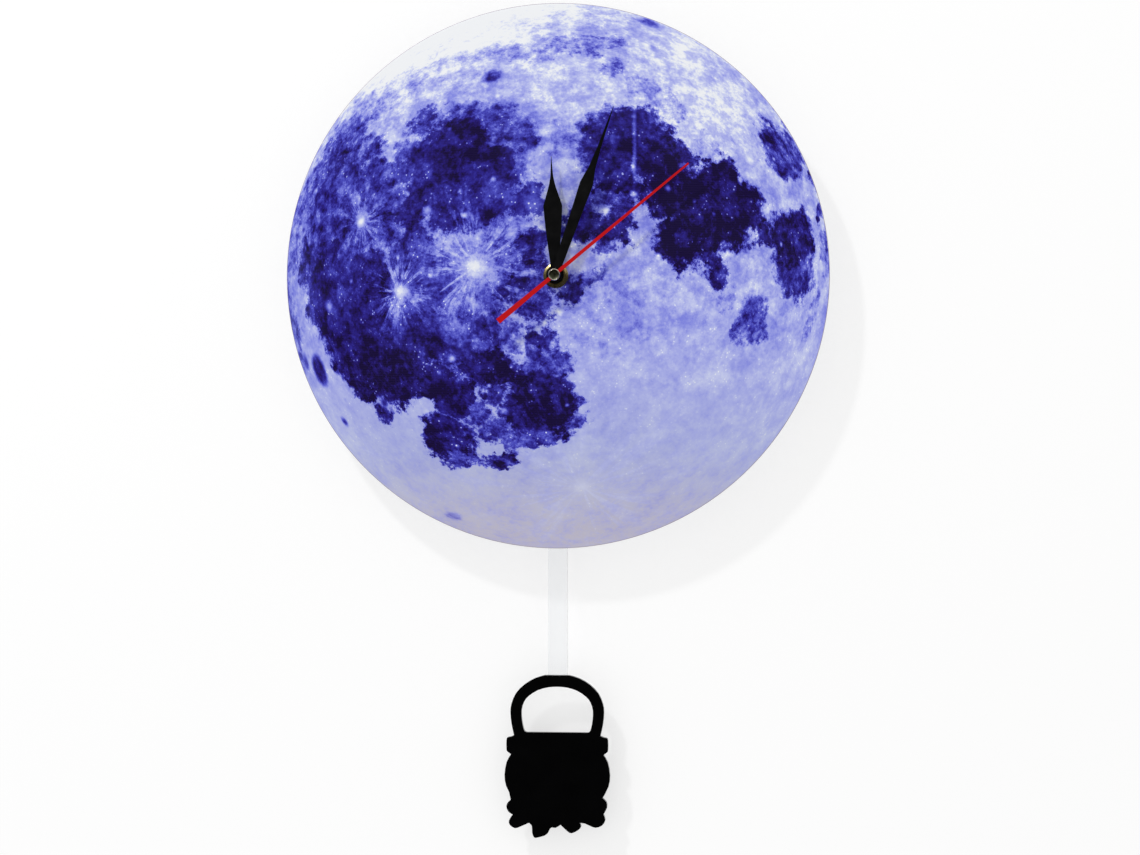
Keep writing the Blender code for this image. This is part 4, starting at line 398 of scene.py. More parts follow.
def moon_print():
    graph = Graph("moon_print")
    x, _, z = graph.separate(graph.place())
    across = graph.math("DIVIDE", graph.minus(x, MOON_X), MOON_RADIUS)
    up = graph.math("DIVIDE", graph.minus(z, MOON_Z), MOON_RADIUS)
    flat = graph.combine(across, up, 0.0)
    square = graph.vector("DOT_PRODUCT", flat, flat)
    out = graph.math("SQRT", graph.most(graph.minus(1.0, square), 0.0004))
    ball = graph.combine(across, up, out)

    # The point on the ball, shifted far for ragged coasts and a little for what lies near it
    half = (0.5, 0.5, 0.5)
    wander = graph.vector("SUBTRACT", graph.noise(ball, 5.5, 3.0, 0.6, colour=True), half)
    ragged = graph.vector("SUBTRACT", graph.noise(ball, 17.0, 6.0, 0.72, colour=True), half)
    coast = graph.vector("ADD", ball, graph.vector("SCALE", wander, scale=0.13))
    coast = graph.vector("ADD", coast, graph.vector("SCALE", ragged, scale=0.17))
    near = graph.vector("ADD", ball, graph.vector("SCALE", ragged, scale=0.02))
    broad = graph.noise(ball, 4.0, 4.0, 0.6)
    middle = graph.noise(ball, 15.0, 5.0, 0.66)
    fine = graph.noise(ball, 62.0, 4.0, 0.7)

    # The tone of the highlands and the plains
    dark = darkness(graph, ball, coast, near)
    mottle = graph.add(graph.swing(middle, 0.55), graph.swing(fine, 0.42))
    crust = graph.add(graph.span(middle, 0.35, 0.64, 0.63, 0.85), graph.swing(fine, 0.4))
    crust = graph.blend_values(graph.span(up, 0.1, -0.5, 0.0, 0.56), crust, 0.775)
    highland = graph.add(crust, graph.swing(broad, 0.45))
    east = graph.span(graph.vector("DISTANCE", flat, BRIGHT_EAST), 0.08, 0.46, 0.13, 0.0)
    north = graph.span(graph.vector("DISTANCE", flat, BRIGHT_NORTH), 0.04, 0.24, 0.15, 0.0)
    highland = graph.add(highland, graph.most(east, north))
    stain = graph.add(graph.swing(middle, 1.1), graph.swing(broad, 0.7))
    base = graph.span(graph.minus(across, up), 0.2, -0.5, 0.02, 0.12)
    plain = graph.add(graph.add(base, stain), graph.swing(fine, 0.5))
    tone = graph.blend_values(dark, highland, plain)

    ray = graph.times(rays(graph, near), graph.span(fine, 0.3, 0.62, 0.45, 1.05))
    tone = graph.add(tone, graph.times(ray, graph.minus(0.86, tone)))
    tone = craters(graph, tone, near, dark, middle)

    # A pale upright streak in the upper plain
    beside = graph.apart(graph.add(across, graph.times(mottle, 0.02)), STREAK_ACROSS)
    streak = graph.times(graph.span(beside, 0.001, 0.012, 0.34, 0.0),
                         graph.span(graph.apart(up, STREAK_UP), 0.06, 0.17, 1.0, 0.0))
    tone = graph.add(tone, streak)

    # A painted glare, which is a reflection painted into the colour, washes the print pale toward the
    # upper left rim; the print turns warm grey toward the foot and blue at the left
    painted_glare = graph.vector("DOT_PRODUCT", flat, TOWARD_PAINTED_GLARE)
    painted_glare = graph.span(graph.add(painted_glare, graph.times(mottle, 0.35)), 0.70, 0.96)
    tone = graph.math("ADD", tone, graph.times(painted_glare, graph.minus(1.08, tone)), clamp=True)
    colour = graph.ramp(tone, MOON_TONES)
    foot = graph.span(graph.add(up, graph.times(mottle, 0.35)), -0.12, -0.92, 0.0, 0.92)
    foot = graph.times(foot, graph.span(dark, 0.5, 0.0))
    foot = graph.times(foot, graph.span(mottle, -0.16, 0.1, 0.5, 1.0))
    foot = graph.times(foot, graph.span(ray, 0.02, 0.4, 1.0, 0.6))
    haze = graph.mix(graph.span(up, -0.55, -0.95), rgba(180, 187, 220), rgba(196, 190, 203))
    colour = graph.mix(foot, colour, haze)
    side = graph.span(graph.add(across, graph.times(mottle, 0.4)), -0.84, -0.99)
    side = graph.times(side, graph.span(up, 0.35, -0.25))
    side = graph.times(side, graph.span(mottle, -0.12, 0.12, 0.05, 0.4))
    colour = graph.mix(side, colour, rgba(146, 156, 218))

    # Faint lines left by the printing head
    head = graph.combine(graph.times(x, 0.04), 0.0, z)
    lines = graph.node("ShaderNodeTexWave", {"Vector": head, "Scale": 330.0, "Distortion": 1.2,
                                             "Detail": 2.0}, bands_direction='Z').outputs["Fac"]
    lines = graph.times(lines, graph.span(tone, 0.5, 0.1, 0.0, 0.03))
    colour = graph.mix(lines, colour, rgba(120, 90, 150))

    smear = graph.noise(graph.place(), 26.0, 3.0, 0.6)
    return graph.finish(colour, graph.gloss(smear, 0.16, 0.24), IOR=1.49, Coat_Weight=0.25,
                        Coat_Roughness=0.12)


# Looks of the other pieces

# The knob's axis in x and z, and the width of a raised mark's sloping edge
KNOB = (-0.01524, -0.00067)
SLOPE = 0.00012


def paint(name, light, dark, scale, patchy=False):
    """Sprayed paint with a fine grain, worn evenly or in patches."""
    graph = Graph(name)
    place = graph.place()
    grain = graph.noise(place, 900.0, 3.0, 0.6)
    wear = graph.noise(place, scale, 4.0, 0.7)
    worn = graph.span(wear, 0.45, 0.8) if patchy else wear
    colour = graph.mix(worn, rgba(*light), rgba(*dark))
    return graph.finish(colour, graph.gloss(wear, 0.3, 0.44), graph.bump(grain, 0.1, 0.0002),
                        Specular_IOR_Level=0.2)


def turned_metal(name, light, dark, rough):
    """Metal turned on a lathe: fine rings about the hands' axis."""
    graph = Graph(name)
    place = graph.place()
    x, _, z = graph.separate(place)
    way = graph.vector("LENGTH", graph.combine(x, z, 0.0))
    rings = graph.noise(graph.combine(way, 0.0, 0.0), 5200.0, 3.0, 0.7)
    tarnish = graph.noise(place, 420.0, 4.0, 0.65)
    colour = graph.mix(graph.span(tarnish, 0.35, 0.75), rgba(*light), rgba(*dark))
    roughness = graph.add(graph.times(rings, 0.16),
                          graph.span(tarnish, 0.3, 0.8, rough - 0.06, rough + 0.08, 'LINEAR'))
    return graph.finish(colour, roughness, graph.bump(rings, 0.2, 0.00004), Metallic=1.0)


def sheet_steel(name, light, dark, rough):
    """Rolled sheet: fine streaks along one direction."""
    graph = Graph(name)
    place = graph.place()
    streak = graph.noise(graph.mapping(place, scale=(1.0, 1.0, 12.0)), 1400.0, 4.0, 0.7)
    blotch = graph.noise(place, 240.0, 3.0, 0.6)
    colour = graph.mix(graph.span(blotch, 0.3, 0.75), rgba(*light), rgba(*dark))
    roughness = graph.add(graph.times(streak, 0.18), graph.gloss(blotch, rough - 0.1, rough))
    return graph.finish(colour, roughness, graph.bump(streak, 0.16, 0.00005), Metallic=1.0)


def moulded(name, light, dark, rough=0.5, grain=2600.0, strength=0.3, marks=None):
    """Moulded plastic with a spark-eroded grain, faint flow marks and, where given, raised marks."""
    graph = Graph(name)
    place = graph.place()
    texture = graph.noise(place, grain, 2.0, 0.55)
    flow = graph.noise(graph.mapping(place, scale=(1.0, 1.0, 2.4)), 60.0, 4.0, 0.6)
    dust = graph.span(graph.noise(place, 520.0, 4.0, 0.75), 0.56, 0.72)
    colour = graph.mix(graph.span(flow, 0.3, 0.7), rgba(*light), rgba(*dark))
    colour = graph.mix(graph.times(dust, 0.08), colour, rgba(150, 148, 144))
    normal = graph.bump(texture, strength, 0.0001)
    if marks:
        raised = marks(graph, *graph.separate(place))
        colour = graph.mix(graph.times(raised, 0.12), colour, rgba(168, 168, 166))
        normal = graph.bump(raised, 0.8, 0.0004, normal)
    return graph.finish(colour, graph.gloss(flow, rough - 0.05, rough + 0.07), normal)


def bar(graph, x, z, centre, half):
    """One on a rectangle in x and z, and zero outside it."""
    return graph.times(*[graph.span(graph.apart(value, middle), reach, reach - SLOPE)
                         for value, middle, reach in zip((x, z), centre, half)])


def from_knob(graph, x, z):
    """The way from the knob's axis to the right, up and in all."""
    right, above = graph.minus(x, KNOB[0]), graph.minus(z, KNOB[1])
    return right, above, graph.vector("LENGTH", graph.combine(right, above, 0.0))


def case_marks(graph, x, y, z):
    """On the case's back: which way the cell lies, and an arc with arrowheads round the knob."""
    width, length = 0.00035, 0.0015
    plus, minus = (0.0225, -0.0085), (-0.0225, -0.0085)
    arc_radius, arc_rise = 0.0082, 0.5
    head_aside, head_tip, head_height = 0.0071, 0.0029, 0.0018
    raised = graph.most(bar(graph, x, z, plus, (length, width)),
                        bar(graph, x, z, plus, (width, length)))
    raised = graph.most(raised, bar(graph, x, z, minus, (length, width)))
    right, above, way = from_knob(graph, x, z)
    ring = graph.span(graph.apart(way, arc_radius), width, width - SLOPE)
    rise = graph.math("DIVIDE", above, way)
    raised = graph.most(raised, graph.times(ring, graph.span(rise, arc_rise, arc_rise + 0.02)))
    # An arrowhead at each end, its tip down
    aside = graph.apart(graph.math("ABSOLUTE", right), head_aside)
    climb = graph.minus(above, head_tip)
    head = graph.minus(graph.times(climb, 0.6), aside)
    head = graph.times(graph.span(head, 0.0, SLOPE),
                       graph.span(climb, head_height, head_height - 0.0001))
    raised = graph.most(raised, head)
    # Only on the face that looks at the wall
    return graph.times(raised, graph.span(y, -0.006, -0.0055))


def knob_marks(graph, x, y, z):
    """A raised rim and a bar across the setting knob."""
    rim = graph.apart(from_knob(graph, x, z)[2], 0.0037)
    return graph.most(graph.span(rim, 0.0003, 0.0002), bar(graph, x, z, KNOB, (0.0022, 0.0004)))


def translucent_plastic(name, light, dark):
    """Natural acetal: light that enters it comes out again nearby."""
    graph = Graph(name)
    place = graph.place()
    cloud = graph.noise(place, 260.0, 3.0, 0.6)
    tool = graph.noise(place, 2600.0, 2.0, 0.6)
    colour = graph.mix(cloud, rgba(*light), rgba(*dark))
    return graph.finish(colour, graph.gloss(cloud, 0.29, 0.4), graph.bump(tool, 0.1, 0.00005),
                        Subsurface_Weight=0.25, Subsurface_Radius=(0.0012, 0.0011, 0.001),
                        Subsurface_Scale=1.0)


def soft_rubber():
    graph = Graph("rubber")
    place = graph.place()
    grain = graph.noise(place, 1800.0, 4.0, 0.7)
    bloom = graph.noise(place, 200.0, 4.0, 0.6)
    colour = graph.mix(graph.span(bloom, 0.4, 0.8), rgba(26, 26, 27), rgba(44, 44, 45))
    return graph.finish(colour, graph.gloss(bloom, 0.7, 0.86), graph.bump(grain, 0.35, 0.0001))


def black_acrylic():
    """Cast acrylic, polished, with the faint scuffs and dust of handling."""
    graph = Graph("black_acrylic")
    place = graph.place()
    smear = graph.noise(place, 70.0, 4.0, 0.65)
    scratches = graph.mapping(place, turn=(0.0, 0.5, 0.0), scale=(1.0, 1.0, 22.0))
    scuff = graph.span(graph.noise(scratches, 420.0, 3.0, 0.7), 0.62, 0.74)
    colour = graph.mix(smear, rgba(2, 2, 2), rgba(6, 6, 7))
    roughness = graph.add(graph.span(smear, 0.35, 0.7, 0.08, 0.2, 'LINEAR'), graph.times(scuff, 0.12))
    return graph.finish(colour, roughness, IOR=1.49, Specular_IOR_Level=0.2)


def clear_acrylic():
    """Clear sheet that lamps shine through, with a faint smear so that its face shows."""
    graph = Graph("clear_acrylic")
    smear = graph.noise(graph.place(), 90.0, 4.0, 0.65)
    rough = graph.span(smear, 0.3, 0.75, 0.02, 0.09, 'LINEAR')
    shader = graph.node("ShaderNodeBsdfPrincipled",
                        {"Base Color": rgba(249, 250, 251), "Roughness": rough, "IOR": 1.49,
                         "Transmission Weight": 1.0})
    through = graph.node("ShaderNodeBsdfTransparent", {"Color": rgba(240, 240, 241)})
    shadow = graph.node("ShaderNodeLightPath").outputs["Is Shadow Ray"]
    return graph.end(graph.node("ShaderNodeMixShader",
                                {0: shadow, 1: shader.outputs[0], 2: through.outputs[0]}))


def dial_edge():
    """The disc's sawn and polished edge, into which the print's colour bleeds."""
    graph = Graph("dial_edge")
    cut = graph.noise(graph.mapping(graph.place(), scale=(1.0, 14.0, 1.0)), 240.0, 4.0, 0.7)
    colour = graph.mix(cut, rgba(178, 168, 182), rgba(138, 126, 146))
    return graph.finish(colour, graph.gloss(cut, 0.22, 0.4), graph.bump(cut, 0.25, 0.0001), IOR=1.49)


def dial_back():
    """The white coat behind the print, with the roller's texture and rub marks."""
    graph = Graph("dial_back")
    place = graph.place()
    roll = graph.noise(graph.mapping(place, scale=(1.0, 1.0, 3.0)), 900.0, 3.0, 0.65)
    patch = graph.noise(place, 14.0, 5.0, 0.6)
    slant = graph.mapping(place, turn=(0.0, 0.9, 0.0), scale=(1.0, 1.0, 18.0))
    rub = graph.noise(slant, 120.0, 3.0, 0.6)
    colour = graph.mix(graph.span(patch, 0.3, 0.75), rgba(224, 225, 232), rgba(206, 207, 218))
    colour = graph.mix(graph.times(graph.span(rub, 0.6, 0.75), 0.3), colour, rgba(184, 186, 202))
    return graph.finish(colour, graph.gloss(patch, 0.34, 0.5), graph.bump(roll, 0.12, 0.0001))


def copper_wire():
    """Enamelled copper, darker where the varnish lies thick."""
    graph = Graph("copper")
    place = graph.place()
    blotch = graph.noise(place, 600.0, 4.0, 0.65)
    fine = graph.noise(place, 3600.0, 3.0, 0.6)
    colour = graph.mix(graph.span(blotch, 0.3, 0.75), rgba(204, 118, 62), rgba(128, 58, 28))
    return graph.finish(colour, graph.gloss(blotch, 0.22, 0.36), graph.bump(fine, 0.15, 0.00004),
                        Metallic=0.85, Coat_Weight=0.6, Coat_Roughness=0.1)


def circuit_board():
    """Solder mask over copper tracks on glass laminate."""
    graph = Graph("circuit_board")
    place = graph.place()
    weave = graph.cells(place, 2200.0, 0.2)
    x, _, z = graph.separate(graph.mapping(place, scale=(420.0, 1.0, 420.0)))
    tracks = graph.node("ShaderNodeTexBrick",
                        {"Vector": graph.combine(x, z, 0.0), "Mortar Size": 0.11, "Scale": 1.0,
                         "Brick Width": 0.9, "Row Height": 0.42}).outputs["Fac"]
    colour = graph.mix(tracks, rgba(16, 74, 40), rgba(40, 118, 62))
    colour = graph.mix(graph.times(weave, 0.25), colour, rgba(8, 46, 26))
    return graph.finish(colour, graph.span(weave, 0.1, 0.6, 0.28, 0.42, 'LINEAR'),
                        graph.bump(tracks, 0.3, 0.00005), Coat_Weight=0.3, Coat_Roughness=0.2)


def cell_sleeve(left, right):
    """The cell's plain sleeve: one grey-green with a thin pale ring near the nub, and metal ends."""
    graph = Graph("cell_sleeve")
    place = graph.place()
    x = graph.separate(place)[0]

    def past(edge, whole):
        return graph.span(x, edge, whole, kind='LINEAR')

    shade = graph.noise(graph.mapping(place, scale=(1.0, 6.0, 6.0)), 150.0, 3.0, 0.6)
    body = graph.mix(shade, rgba(88, 106, 102), rgba(108, 126, 120))
    steel = graph.mix(shade, rgba(188, 190, 194), rgba(150, 152, 158))
    ring = graph.times(past(right - 0.0078, right - 0.0076), past(right - 0.0068, right - 0.0070))
    colour = graph.mix(ring, body, rgba(206, 212, 208))
    end = graph.most(past(left + 0.0012, left + 0.0009), past(right - 0.0032, right - 0.0029))
    colour = graph.mix(end, colour, steel)
    return graph.finish(colour, graph.gloss(shade, 0.2, 0.34), graph.bump(shade, 0.05, 0.0001),
                        Metallic=end, Coat_Weight=0.3, Coat_Roughness=0.15)


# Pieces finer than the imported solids, built on their sizes

DIAL_BORE = 0.0043
PRINT, COAT, EDGE = range(3)


def arc(count, radius):
    """Points around the hand axis."""
    angles = [2 * math.pi * index / count for index in range(count)]
    return [(radius * math.cos(angle), radius * math.sin(angle)) for angle in angles]


def skin(rings, count, closed=True):
    """Faces between neighbouring rings of points, and between the last and the first if it closes."""
    faces = []
    for ring in range(rings if closed else rings - 1):
        low, high = ring * count, (ring + 1) % rings * count
        for index in range(count):
            after = (index + 1) % count
            faces.append((low + index, low + after, high + after, high + index))
    return faces


def loft(name, rings, materials, body, stands_for, angle, closed=True, by_ring=None):
    """A skin over (depth, outline) rings of equal counts. by_ring gives each band's material."""
    count = len(rings[0][1])
    points = [(x, -depth, z) for depth, outline in rings for x, z in outline]
    faces = skin(len(rings), count, closed)
    looks = [by_ring[index // count] if by_ring else 0 for index in range(len(faces))]
    if not closed:
        faces.append(tuple(range(count))[::-1])
        faces.append(tuple((len(rings) - 1) * count + index for index in range(count)))
        looks += [looks[0], looks[-1]]
    add_piece(name, points, faces, materials, body, stands_for, angle, looks)


def add_item(name, data):
    item = bpy.data.objects.new(name, data)
    bpy.context.scene.collection.objects.link(item)
    return item


def add_piece(name, points, faces, materials, body, stands_for, angle, looks=None):
    mesh = bpy.data.meshes.new(name)
    mesh.from_pydata(points, [], faces)
    for material in materials:
        mesh.materials.append(material)
    if looks:
        mesh.polygons.foreach_set("material_index", looks)
    shape = bmesh.new()
    shape.from_mesh(mesh)
    bmesh.ops.recalc_face_normals(shape, faces=shape.faces)
    shape.to_mesh(mesh)
    shape.free()
    mesh.shade_smooth()
    mesh.set_sharp_from_angle(angle=math.radians(angle))
    item = add_item(name, mesh)
    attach(item, body)
    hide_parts(*stands_for)


def depths(name):
    """A node's back and front depths."""
    low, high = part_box(name)
    return -high[1], -low[1]


def width(name):
    low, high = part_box(name)
    return high[0] - low[0]


def dial():
    back, front = depths("dial_disc")
    radius = width("dial_disc") / 2
    bore = DIAL_BORE
    edge = 0.0004
    profile = [(back, bore), (back, radius - 0.0006), (back, radius - 0.0001), (back + 0.0001, radius)]
    for step in range(7):
        angle = math.radians(15 * step)
        profile.append((front - edge + edge * math.sin(angle), radius - edge + edge * math.cos(angle)))
    # A ring beside each edge keeps the normals of the wide face flat, so nothing shades it
    profile += [(front, radius - 0.0012), (front, bore + 0.0010), (front, bore + 0.0002),
                (front - 0.0002, bore)]
    rings = [(depth, arc(288, reach)) for depth, reach in profile]
    loft("moon_dial", rings, [moon_print(), dial_back(), dial_edge()], "case",
         ["dial_disc"], 60.0, by_ring=[COAT] + [EDGE] * 8 + [PRINT] * 4 + [EDGE] * 2)


def nut():
    """The hexagon nut, whose corners a cone bevels toward both faces."""
    back, front = depths("hex_nut")
    # Across the flats and the turned face, the cone's slope, and its start before the back face
    flats, face, slope, start = 0.012, 0.0111, 2.4, 0.0006
    bore = 0.00415
    count = 144

    def outline(depth):
        points = []
        cone = face / 2 + min(front - depth, depth - back + start) * slope
        for index in range(count):
            angle = 2 * math.pi * index / count
            from_flat = (angle + math.pi / 6) % (math.pi / 3) - math.pi / 6
            reach = min(flats / 2 / math.cos(from_flat), cone)
            points.append((reach * math.cos(angle), reach * math.sin(angle)))
        return points

    steps = [0.0, 0.00008, 0.0002, 0.00035, 0.0005, 0.0007]
    levels = [back + step for step in steps] + [front - step for step in reversed(steps)]
    rings = [(depth, outline(depth)) for depth in levels]
    rings += [(front, arc(count, bore + 0.0004)), (front - 0.0004, arc(count, bore)),
              (back + 0.0002, arc(count, bore)), (back, arc(count, bore + 0.0002))]
    loft("brass_nut", rings, [BRASS], "case", ["hex_nut"], 22.0)


def bush():
    """The clamping bush, with its thread."""
    back, front = depths("threaded_bush")
    count = 48
    bore, flange = 0.00265, 0.0049
    crest, groove, pitch = 0.004, 0.00036, 0.00075
    collar = back + 0.0006
    rings = [(depth, arc(count, reach)) for depth, reach in (
        (back, bore), (back, flange - 0.0001), (back + 0.0001, flange), (collar - 0.0001, flange),
        (collar, flange - 0.0001), (collar, crest - groove))]
    for level in range(1, int((front - 0.0004 - collar) / (pitch / 6))):
        depth = collar + level * pitch / 6
        outline = []
        for index in range(count):
            phase = (depth / pitch - index / count) % 1.0
            reach = crest - groove * (1.0 - abs(2.0 * phase - 1.0))
            angle = 2 * math.pi * index / count
            outline.append((reach * math.cos(angle), reach * math.sin(angle)))
        rings.append((depth, outline))
    rings += [(depth, arc(count, reach)) for depth, reach in (
        (front - 0.0003, crest - groove), (front, 0.0034), (front, 0.0029), (front - 0.0002, bore))]
    loft("bush_thread", rings, [BRASS], "case", ["threaded_bush"], 28.0)


def cap():
    """The dished cap that the second hand hangs from: a bright rim around a well whose dark olive metal
    colour is painted shade and reflection in the hollow.
    """
    back, front = depths("second_hand_cap")
    tube, disc = 0.0011, front - 0.0014
    rim = [(back, 0.00065), (back, tube), (disc, tube), (disc, 0.0030), (disc + 0.0001, 0.0032),
           (disc + 0.0003, 0.0033), (disc + 0.0009, 0.00329), (front - 0.00018, 0.00318),
           (front - 0.00004, 0.00302), (front, 0.00288), (front - 0.00005, 0.00274),
           (front - 0.0002, 0.00262)]
    well = [(front - 0.0005, 0.0025), (front - 0.00064, 0.0021), (front - 0.0007, 0.0014),
            (front - 0.00072, 0.0009), (front - 0.0011, 0.00088), (front - 0.0011, 0.0003)]
    # The well gets a darker metal: painted shade and reflection in the hollow, not a different finish
    loft("hand_cap", [(depth, arc(72, reach)) for depth, reach in rim + well], [NICKEL, PAINTED_SHADE_WELL],
         "seconds", ["second_hand_cap"], 50.0, closed=False,
         by_ring=[0] * len(rim) + [1] * len(well))


def washer(node, name, material, edge):
    back, front = depths(node)
    radius = width(node) / 2
    rings = [(back, DIAL_BORE), (back, radius - edge), (back + edge, radius), (front - edge, radius),
             (front, radius - edge), (front, DIAL_BORE)]
    loft(name, [(depth, arc(96, reach)) for depth, reach in rings], [material], "case", [node],
         50.0)


def cell():
    """The cell: a crimped can with a nub, in its plain sleeve."""
    low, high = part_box("power_cell")
    radius = (high[2] - low[2]) / 2
    middle_depth = -(low[1] + high[1]) / 2
    level = (low[2] + high[2]) / 2
    left, right = low[0], high[0]
    shoulder = right - 0.0012
    profile = [(left + 0.0003, 0.0001), (left + 0.0003, 0.0030), (left, 0.0042),
               (left, radius - 0.0012), (left + 0.0001, radius - 0.0006),
               (left + 0.0005, radius - 0.0001), (left + 0.0009, radius),
               (left + 0.0011, radius - 0.00012), (left + 0.0013, radius), (shoulder - 0.0030, radius),
               (shoulder - 0.0026, radius - 0.0003), (shoulder - 0.0022, radius - 0.0001),
               (shoulder - 0.0008, radius - 0.00005), (shoulder - 0.0003, radius - 0.0004),
               (shoulder - 0.0001, radius - 0.0010), (shoulder - 0.0004, radius - 0.0018),
               (shoulder - 0.0004, 0.0034), (shoulder, 0.00275), (right - 0.0002, 0.00275),
               (right, 0.0025), (right, 0.0001)]
    count = 64
    points = [(x, y - middle_depth, z + level) for x, reach in profile for y, z in arc(count, reach)]
    faces = skin(len(profile), count, closed=False)
    faces.append(tuple(range(count)))
    faces.append(tuple((len(profile) - 1) * count + index for index in range(count)))
    add_piece("sleeved_cell", points, faces, [cell_sleeve(left, shoulder)], "case",
              ["power_cell"], 40.0)


def coil(name, node, turns, along_x, bore, squareness):
    """A winding whose surface is its layer of wire, on the node's own size."""
    low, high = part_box(node)
    middle = [(low[axis] + high[axis]) / 2 for axis in range(3)]
    half = [(high[axis] - low[axis]) / 2 for axis in range(3)]
    length, *across = half if along_x else (half[1], half[0], half[2])
    count, steps, groove = 48, turns * 4, 0.035
    rings = [(-length, bore)]
    for step in range(steps + 1):
        swell = 1.0 - groove * (0.5 + 0.5 * math.cos(2 * math.pi * step / 4))
        rings.append((-length + 2 * length * step / steps, swell))
    rings.append((length, bore))
    outline = []
    for index in range(count):
        angle = 2 * math.pi * index / count
        c, s = math.cos(angle), math.sin(angle)
        outline.append((math.copysign(abs(c) ** squareness, c),
                        math.copysign(abs(s) ** squareness, s)))
    points = []
    for way, swell in rings:
        for a, b in outline:
            a, b = a * across[0] * swell, b * across[1] * swell
            points.append((way + middle[0], a + middle[1], b + middle[2]) if along_x
                          else (a + middle[0], way + middle[1], b + middle[2]))
    add_piece(name, points, skin(len(rings), count), [COPPER], "case", [node], 60.0)


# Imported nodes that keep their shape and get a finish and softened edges

def soften(name, amount):
    edge = NODES[name].modifiers.new("edges", 'BEVEL')
    edge.width = amount
    edge.segments = 2
    edge.limit_method = 'ANGLE'
    edge.angle_limit = math.radians(35.0)
    edge.harden_normals = True


BRASS = turned_metal("brass", (214, 196, 136), (132, 112, 62), 0.22)
NICKEL = turned_metal("nickel", (226, 220, 204), (160, 150, 130), 0.2)
# The cap's well: the same metal painted dark olive as shade and reflection in its hollow
PAINTED_SHADE_WELL = turned_metal("well_painted_shade", (96, 100, 78), (40, 38, 34), 0.3)
RUBBER = soft_rubber()
COPPER = copper_wire()
PALE_PLASTIC = ((214, 213, 208), (198, 197, 190), 0.45)

SLOT_LOOKS = {
    "black_acrylic": black_acrylic(),
    "clear_acrylic": clear_acrylic(),
    "black_paint": paint("black_paint", (4, 4, 5), (12, 12, 14), 160.0, patchy=True),
    "red_paint": paint("red_paint", (206, 1, 8), (180, 0, 8), 140.0),
    "brass": BRASS,
    "nickel": sheet_steel("plated", (214, 210, 198), (170, 164, 150), 0.24),
    "steel": sheet_steel("steel", (176, 178, 182), (132, 134, 140), 0.32),
    "rubber": RUBBER,
    "black_plastic": moulded("black_plastic", (20, 20, 21), (27, 27, 28), marks=case_marks),
    "white_plastic": moulded("white_plastic", *PALE_PLASTIC),
    "acetal": translucent_plastic("acetal", (236, 235, 226), (222, 219, 206)),
    "green_acetal": translucent_plastic("green_acetal", (120, 184, 148), (96, 164, 126)),
    "copper": COPPER,
    "circuit_board": circuit_board(),
    "ferrite": moulded("ferrite", (70, 70, 73), (50, 50, 53), 0.6, 3200.0, 0.4),
}
SOFTENED = {
    0.00035: ["pendulum_bob"],
    0.00025: ["hanger"],
    0.0002: ["pendulum_rod", "pendulum_lever", "rear_housing", "front_plate", "swing_magnet"],
    0.00015: ["set_knob"],
    0.0001: ["hour_hand", "minute_hand", "second_hand", "drive_bobbin", "motor_bobbin", "middle_plate"],
    0.00008: ["clock_board", "drive_board", "contact_positive", "contact_negative", "stator",
              "motor_core"],
}


def dress_nodes():
    made = {"dial_disc", "hex_nut", "threaded_bush", "second_hand_cap", "dial_washer", "rubber_washer",
            "power_cell", "motor_winding", "drive_winding"}
    for part in frame["record"]["subparts"]:
        if part["node"] not in made:
            dress(part["node"], SLOT_LOOKS[part["material_slot"]])
    dress("set_knob", moulded("knob_plastic", *PALE_PLASTIC, marks=knob_marks))
    for amount, names in SOFTENED.items():
        for name in names:
            soften(name, amount)


dress_nodes()
dial()
nut()
bush()
cap()
washer("dial_washer", "brass_washer", BRASS, 0.0001)
washer("rubber_washer", "rubber_ring", RUBBER, 0.0002)
cell()
coil("motor_coil", "motor_winding", 26, True, 0.45, 0.62)
coil("drive_coil", "drive_winding", 8, False, 0.44, 1.0)


# Wall, light and camera

WALL_HALF = 3.0
WALL_BEHIND = 0.0004
WALL_ALBEDO = 0.42
WALL_GLOW = 0.61
WHITE = (1.0, 1.0, 1.0, 1.0)

WORLD_LEVEL = 0.74
MIRROR_LOW = 0.02
MIRROR_HIGH = 1.1
KEY_PLACE = Vector((-1.05, -1.35, 1.75))
KEY_TARGET = Vector((0.0, 0.0, -0.08))
KEY_SIZE = 0.18
KEY_POWER = 19.0

CAMERA_YAW = 5.0
CAMERA_DISTANCE = 1.48
LENS = 85.0
SENSOR = 36.0
AIM = Vector((0.0078, -0.0216, -0.0835))


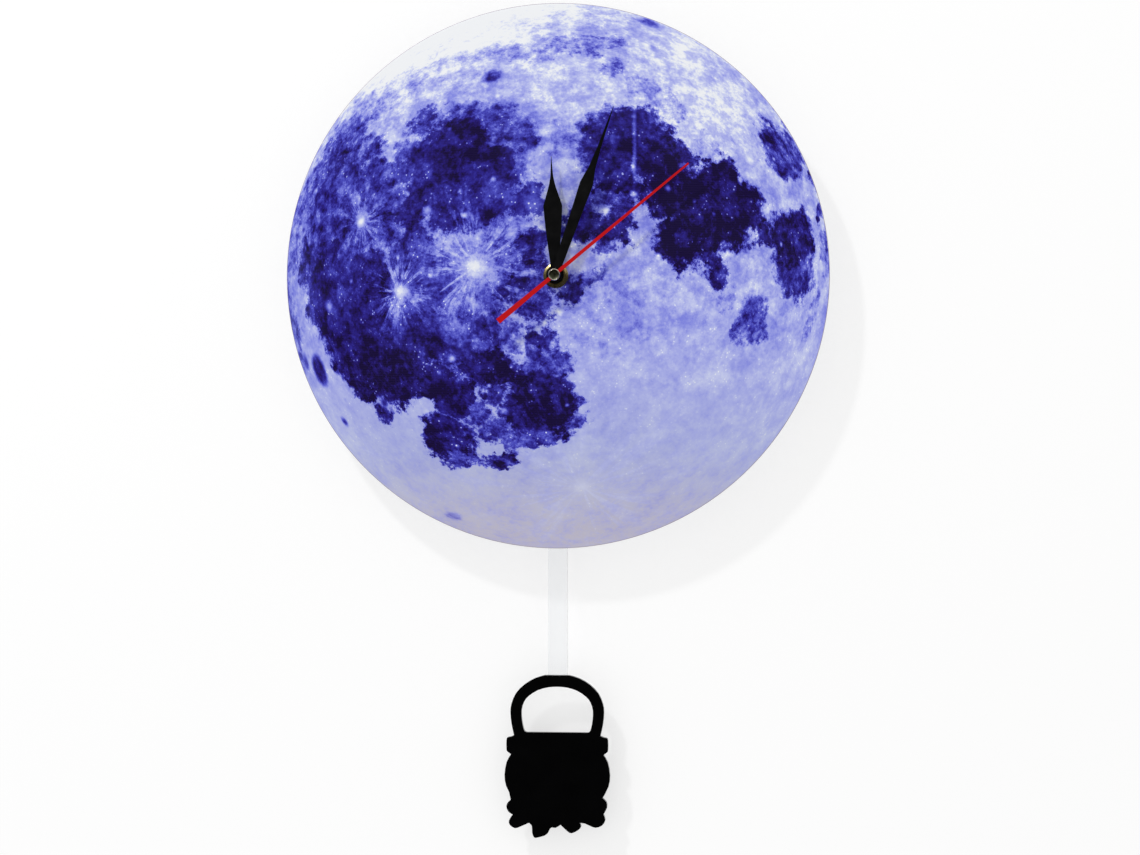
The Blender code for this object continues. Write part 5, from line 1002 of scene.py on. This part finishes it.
def wall_paint():
    """White wall that keeps the clock's shadow. Only what looks at it from the front meets it."""
    graph = Graph("wall_paint")
    texture = graph.noise(graph.place(), 320.0, 4.0, 0.6)
    paint_coat = graph.node("ShaderNodeBsdfDiffuse",
                            {"Color": (WALL_ALBEDO, WALL_ALBEDO, WALL_ALBEDO, 1.0),
                             "Normal": graph.bump(texture, 0.04, 0.0004)})
    glow = graph.node("ShaderNodeEmission", {"Color": WHITE, "Strength": WALL_GLOW})
    lit = graph.node("ShaderNodeAddShader", {0: paint_coat.outputs[0], 1: glow.outputs[0]})
    path = graph.node("ShaderNodeLightPath").outputs
    looking = graph.most(path["Is Camera Ray"],
                         graph.most(path["Is Glossy Ray"], path["Is Transmission Ray"]))
    front = graph.minus(1.0, graph.node("ShaderNodeNewGeometry").outputs["Backfacing"])
    clear = graph.node("ShaderNodeBsdfTransparent")
    return graph.end(graph.node("ShaderNodeMixShader", {0: graph.times(looking, front),
                                                        1: clear.outputs[0], 2: lit.outputs[0]}))


def wall():
    mesh = bpy.data.meshes.new("wall")
    half = WALL_HALF
    corners = [(-half, WALL_BEHIND, -half), (half, WALL_BEHIND, -half),
               (half, WALL_BEHIND, half), (-half, WALL_BEHIND, half)]
    mesh.from_pydata(corners, [], [(0, 1, 2, 3)])
    mesh.materials.append(wall_paint())
    item = add_item("wall", mesh)


def light_scene():
    world = bpy.data.worlds.new("studio")
    world.use_nodes = True
    studio = Graph(tree=world.node_tree)
    # Even light on all sides, white behind the clock, and a bright ceiling in what its metal mirrors
    path = studio.node("ShaderNodeLightPath").outputs
    height = studio.separate(studio.node("ShaderNodeTexCoord").outputs["Generated"])[2]
    mirrored = studio.span(height, 0.08, 0.62, MIRROR_LOW, MIRROR_HIGH)
    level = studio.blend_values(path["Is Glossy Ray"], WORLD_LEVEL, mirrored)
    seen = studio.most(path["Is Camera Ray"], path["Is Transmission Ray"])
    level = studio.blend_values(seen, level, 1.0)
    studio.end(studio.node("ShaderNodeBackground", {"Color": WHITE, "Strength": level}),
               "ShaderNodeOutputWorld")
    bpy.context.scene.world = world

    key = bpy.data.lights.new("key", 'AREA')
    key.shape = 'DISK'
    key.size = KEY_SIZE
    key.energy = KEY_POWER
    lamp = add_item("key", key)
    lamp.location = KEY_PLACE
    lamp.rotation_euler = (KEY_TARGET - KEY_PLACE).to_track_quat('-Z', 'Y').to_euler()


def place_camera():
    yaw = math.radians(CAMERA_YAW)
    data = bpy.data.cameras.new("camera")
    data.lens = LENS
    data.sensor_width = SENSOR
    data.clip_start = 0.01
    data.clip_end = 50.0
    camera = add_item("camera", data)
    camera.location = AIM + CAMERA_DISTANCE * Vector((math.sin(yaw), -math.cos(yaw), 0.0))
    camera.rotation_euler = (math.radians(90.0), 0.0, yaw)
    bpy.context.scene.camera = camera


wall()
light_scene()
place_camera()
bpy.context.scene.view_settings.view_transform = 'Standard'
